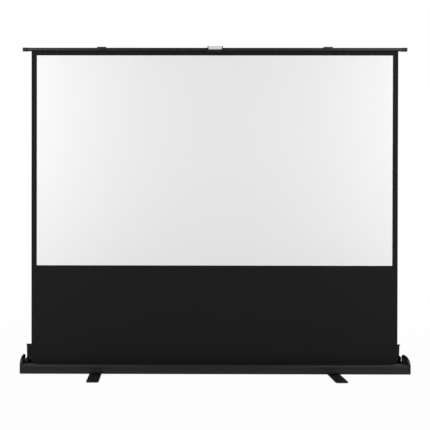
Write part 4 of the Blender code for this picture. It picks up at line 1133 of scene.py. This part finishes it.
class SCREEN_OT_grip(bpy.types.Operator):
    """Moulds the silver pull grip, with sunk ends"""

    bl_idname = "projection_screen.grip"
    bl_label = "Grip"

    def execute(self, context):
        low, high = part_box("handle_grip")
        size = high - low
        grip = start_piece(
            "cube", "pull_grip", size=1, location=middle((low, high)), scale=size
        )
        corner_radius, rim, sink = 0.0048, 0.0012, 0.0006
        bpy.ops.object.mode_set(mode="EDIT")
        pick(grip, "edges", lambda edge: edge.calc_length() > size.x / 2)
        bpy.ops.mesh.bevel(offset=corner_radius, segments=6, affect="EDGES")
        pick(grip, "faces", lambda face: abs(face.normal.x) > 0.9)
        bpy.ops.mesh.inset(thickness=rim)
        bpy.ops.mesh.extrude_region_shrink_fatten(TRANSFORM_OT_shrink_fatten={"value": -sink})
        bpy.ops.object.mode_set(mode="OBJECT")
        shade(grip, 40)
        dress(grip, "silver_plastic", "bar", "handle_grip")
        return {"FINISHED"}


class SCREEN_OT_finishes(bpy.types.Operator):
    """Gives each rigid piece of the frame the finish of its real material"""

    bl_idname = "projection_screen.finishes"
    bl_label = "Finishes"

    def execute(self, context):
        for name, piece in frame["nodes"].items():
            # The cloth is made anew, with a map for its weave
            if SLOTS[name] not in ("screen_cloth", "black_cloth"):
                piece.data.materials.clear()
                piece.data.materials.append(finish_of(SLOTS[name]))
        return {"FINISHED"}


class SCREEN_OT_stage(bpy.types.Operator):
    """Sets up the floor, the white background, the lamps and the camera"""

    bl_idname = "projection_screen.stage"
    bl_label = "Stage"

    def execute(self, context):
        stage = context.scene.screen_stage
        scene = context.scene
        scene.view_settings.view_transform = "Standard"
        self.make_floor()
        self.make_world(scene)
        # A soft box at each side lights the cloth's edges more than its middle; the right is dimmer
        for side, sign in SIDES:
            power = stage.lamp_power * (0.92 if sign > 0 else 1)
            place, target = (sign * 2.0, -1.5, 1.55), (sign * 0.4, 0, 1.1)
            self.make_lamp(f"lamp_{side}", place, target, 1.0, power)
        # A large soft box behind shows the arms and the back, and can't reach the front
        self.make_lamp("lamp_back", (0.6, 3.4, 2.4), (0, 0, 0.7), 2.6, stage.back_power)
        camera = bpy.data.objects.new("camera", bpy.data.cameras.new("camera"))
        scene.collection.objects.link(camera)
        # The photograph's viewpoint, with a shifted lens that keeps the screen's sides upright
        camera.location = (-0.2591, -3.0646, 0.8171)
        tilt, lean, swing = (math.radians(angle) for angle in (0.2679, -0.0826, 0.2013))
        camera.rotation_euler = (math.pi / 2 - tilt, lean, swing)
        camera.data.sensor_width = 36
        camera.data.lens = stage.lens
        camera.data.shift_x, camera.data.shift_y = 0.1272, -0.0042
        scene.camera = camera
        return {"FINISHED"}

    def make_lamp(self, name, place, target, size, power):
        """A soft box of this width, turned to its target."""
        light = bpy.data.lights.new(name, "AREA")
        light.shape = "RECTANGLE"
        light.size = size
        light.size_y = size * 1.4
        light.energy = power
        lamp = bpy.data.objects.new(name, light)
        bpy.context.scene.collection.objects.link(lamp)
        lamp.location = place
        aim = Vector(target) - Vector(place)
        lamp.rotation_euler = aim.to_track_quat("-Z", "Y").to_euler()

    def seen_directly(self, tree):
        """1 for what the camera, a shiny surface or a clear one shows, and 0 for light cast."""
        path = add_node(tree, "ShaderNodeLightPath")
        total = path.outputs["Is Camera Ray"]
        for ray in ("Is Glossy Ray", "Is Transmission Ray"):
            node = add_node(
                tree, "ShaderNodeMath", {0: total, 1: path.outputs[ray]}, operation="MAXIMUM"
            )
            total = node.outputs[0]
        return node

    def make_floor(self):
        """A white paper sweep, which takes shadows near the object."""
        floor = start_piece("plane", "floor", size=60)
        material, tree, shader = new_finish(
            "white_paper_sweep", Roughness=0.9, Base_Color=linear("#E8E8E8")
        )
        glow = add_node(tree, "ShaderNodeEmission", {"Color": (1, 1, 1, 1), "Strength": 1.0})
        seen = self.seen_directly(tree)
        # It shows its shading near the object only, and melts into the background beyond
        place = add_node(tree, "ShaderNodeTexCoord").outputs["Object"]
        reach = add_node(tree, "ShaderNodeVectorMath", {0: place}, operation="LENGTH")
        fade = add_node(
            tree,
            "ShaderNodeMapRange",
            {0: reach.outputs["Value"], "From Min": 1.2, "From Max": 3.5, "To Min": 0.965},
        )
        share = add_node(
            tree,
            "ShaderNodeMath",
            {0: seen.outputs[0], 1: fade.outputs[0]},
            operation="MULTIPLY",
        )
        mix = add_node(
            tree,
            "ShaderNodeMixShader",
            {0: share.outputs[0], 1: shader.outputs[0], 2: glow.outputs[0]},
        )
        tree.links.new(mix.outputs[0], tree.nodes["Material Output"].inputs["Surface"])
        floor.data.materials.append(material)

    def make_world(self, scene):
        """A white background that casts only the room's even light."""
        world = bpy.data.worlds.new("studio")
        world.use_nodes = True
        scene.world = world
        tree = world.node_tree
        seen = self.seen_directly(tree)
        strength = add_node(
            tree,
            "ShaderNodeMapRange",
            {0: seen.outputs[0], "To Min": scene.screen_stage.ambient},
        )
        back = tree.nodes["Background"]
        back.inputs["Color"].default_value = (1, 1, 1, 1)
        tree.links.new(strength.outputs[0], back.inputs["Strength"])


class SCREEN_PT_panel(bpy.types.Panel):
    """Lists the steps that build the screen"""

    bl_label = "Projection Screen"
    bl_idname = "SCREEN_PT_panel"
    bl_space_type = "VIEW_3D"
    bl_region_type = "UI"
    bl_category = "Screen"

    def draw(self, context):
        for group in ("screen_cloth", "screen_hardware", "screen_stage"):
            box = self.layout.box()
            sizes = getattr(context.scene, group)
            for name in type(sizes).__annotations__:
                box.prop(sizes, name)
        for operator in OPERATORS:
            self.layout.operator(operator.bl_idname)


GROUPS = {
    "screen_cloth": SCREEN_PG_cloth,
    "screen_hardware": SCREEN_PG_hardware,
    "screen_stage": SCREEN_PG_stage,
}
OPERATORS = (
    SCREEN_OT_finishes,
    SCREEN_OT_case,
    SCREEN_OT_bar,
    SCREEN_OT_arms,
    SCREEN_OT_springs,
    SCREEN_OT_feet,
    SCREEN_OT_screws,
    SCREEN_OT_bail,
    SCREEN_OT_cloth,
    SCREEN_OT_grip,
    SCREEN_OT_stage,
)


def register():
    for name, group in GROUPS.items():
        bpy.utils.register_class(group)
        setattr(bpy.types.Scene, name, bpy.props.PointerProperty(type=group))
    for operator in OPERATORS:
        bpy.utils.register_class(operator)
    bpy.utils.register_class(SCREEN_PT_panel)


def unregister():
    bpy.utils.unregister_class(SCREEN_PT_panel)
    for operator in reversed(OPERATORS):
        bpy.utils.unregister_class(operator)
    for name, group in GROUPS.items():
        delattr(bpy.types.Scene, name)
        bpy.utils.unregister_class(group)


def main():
    register()
    for operator in OPERATORS:
        category, name = operator.bl_idname.split(".")
        getattr(getattr(bpy.ops, category), name)()


if __name__ == "__main__":
    main()
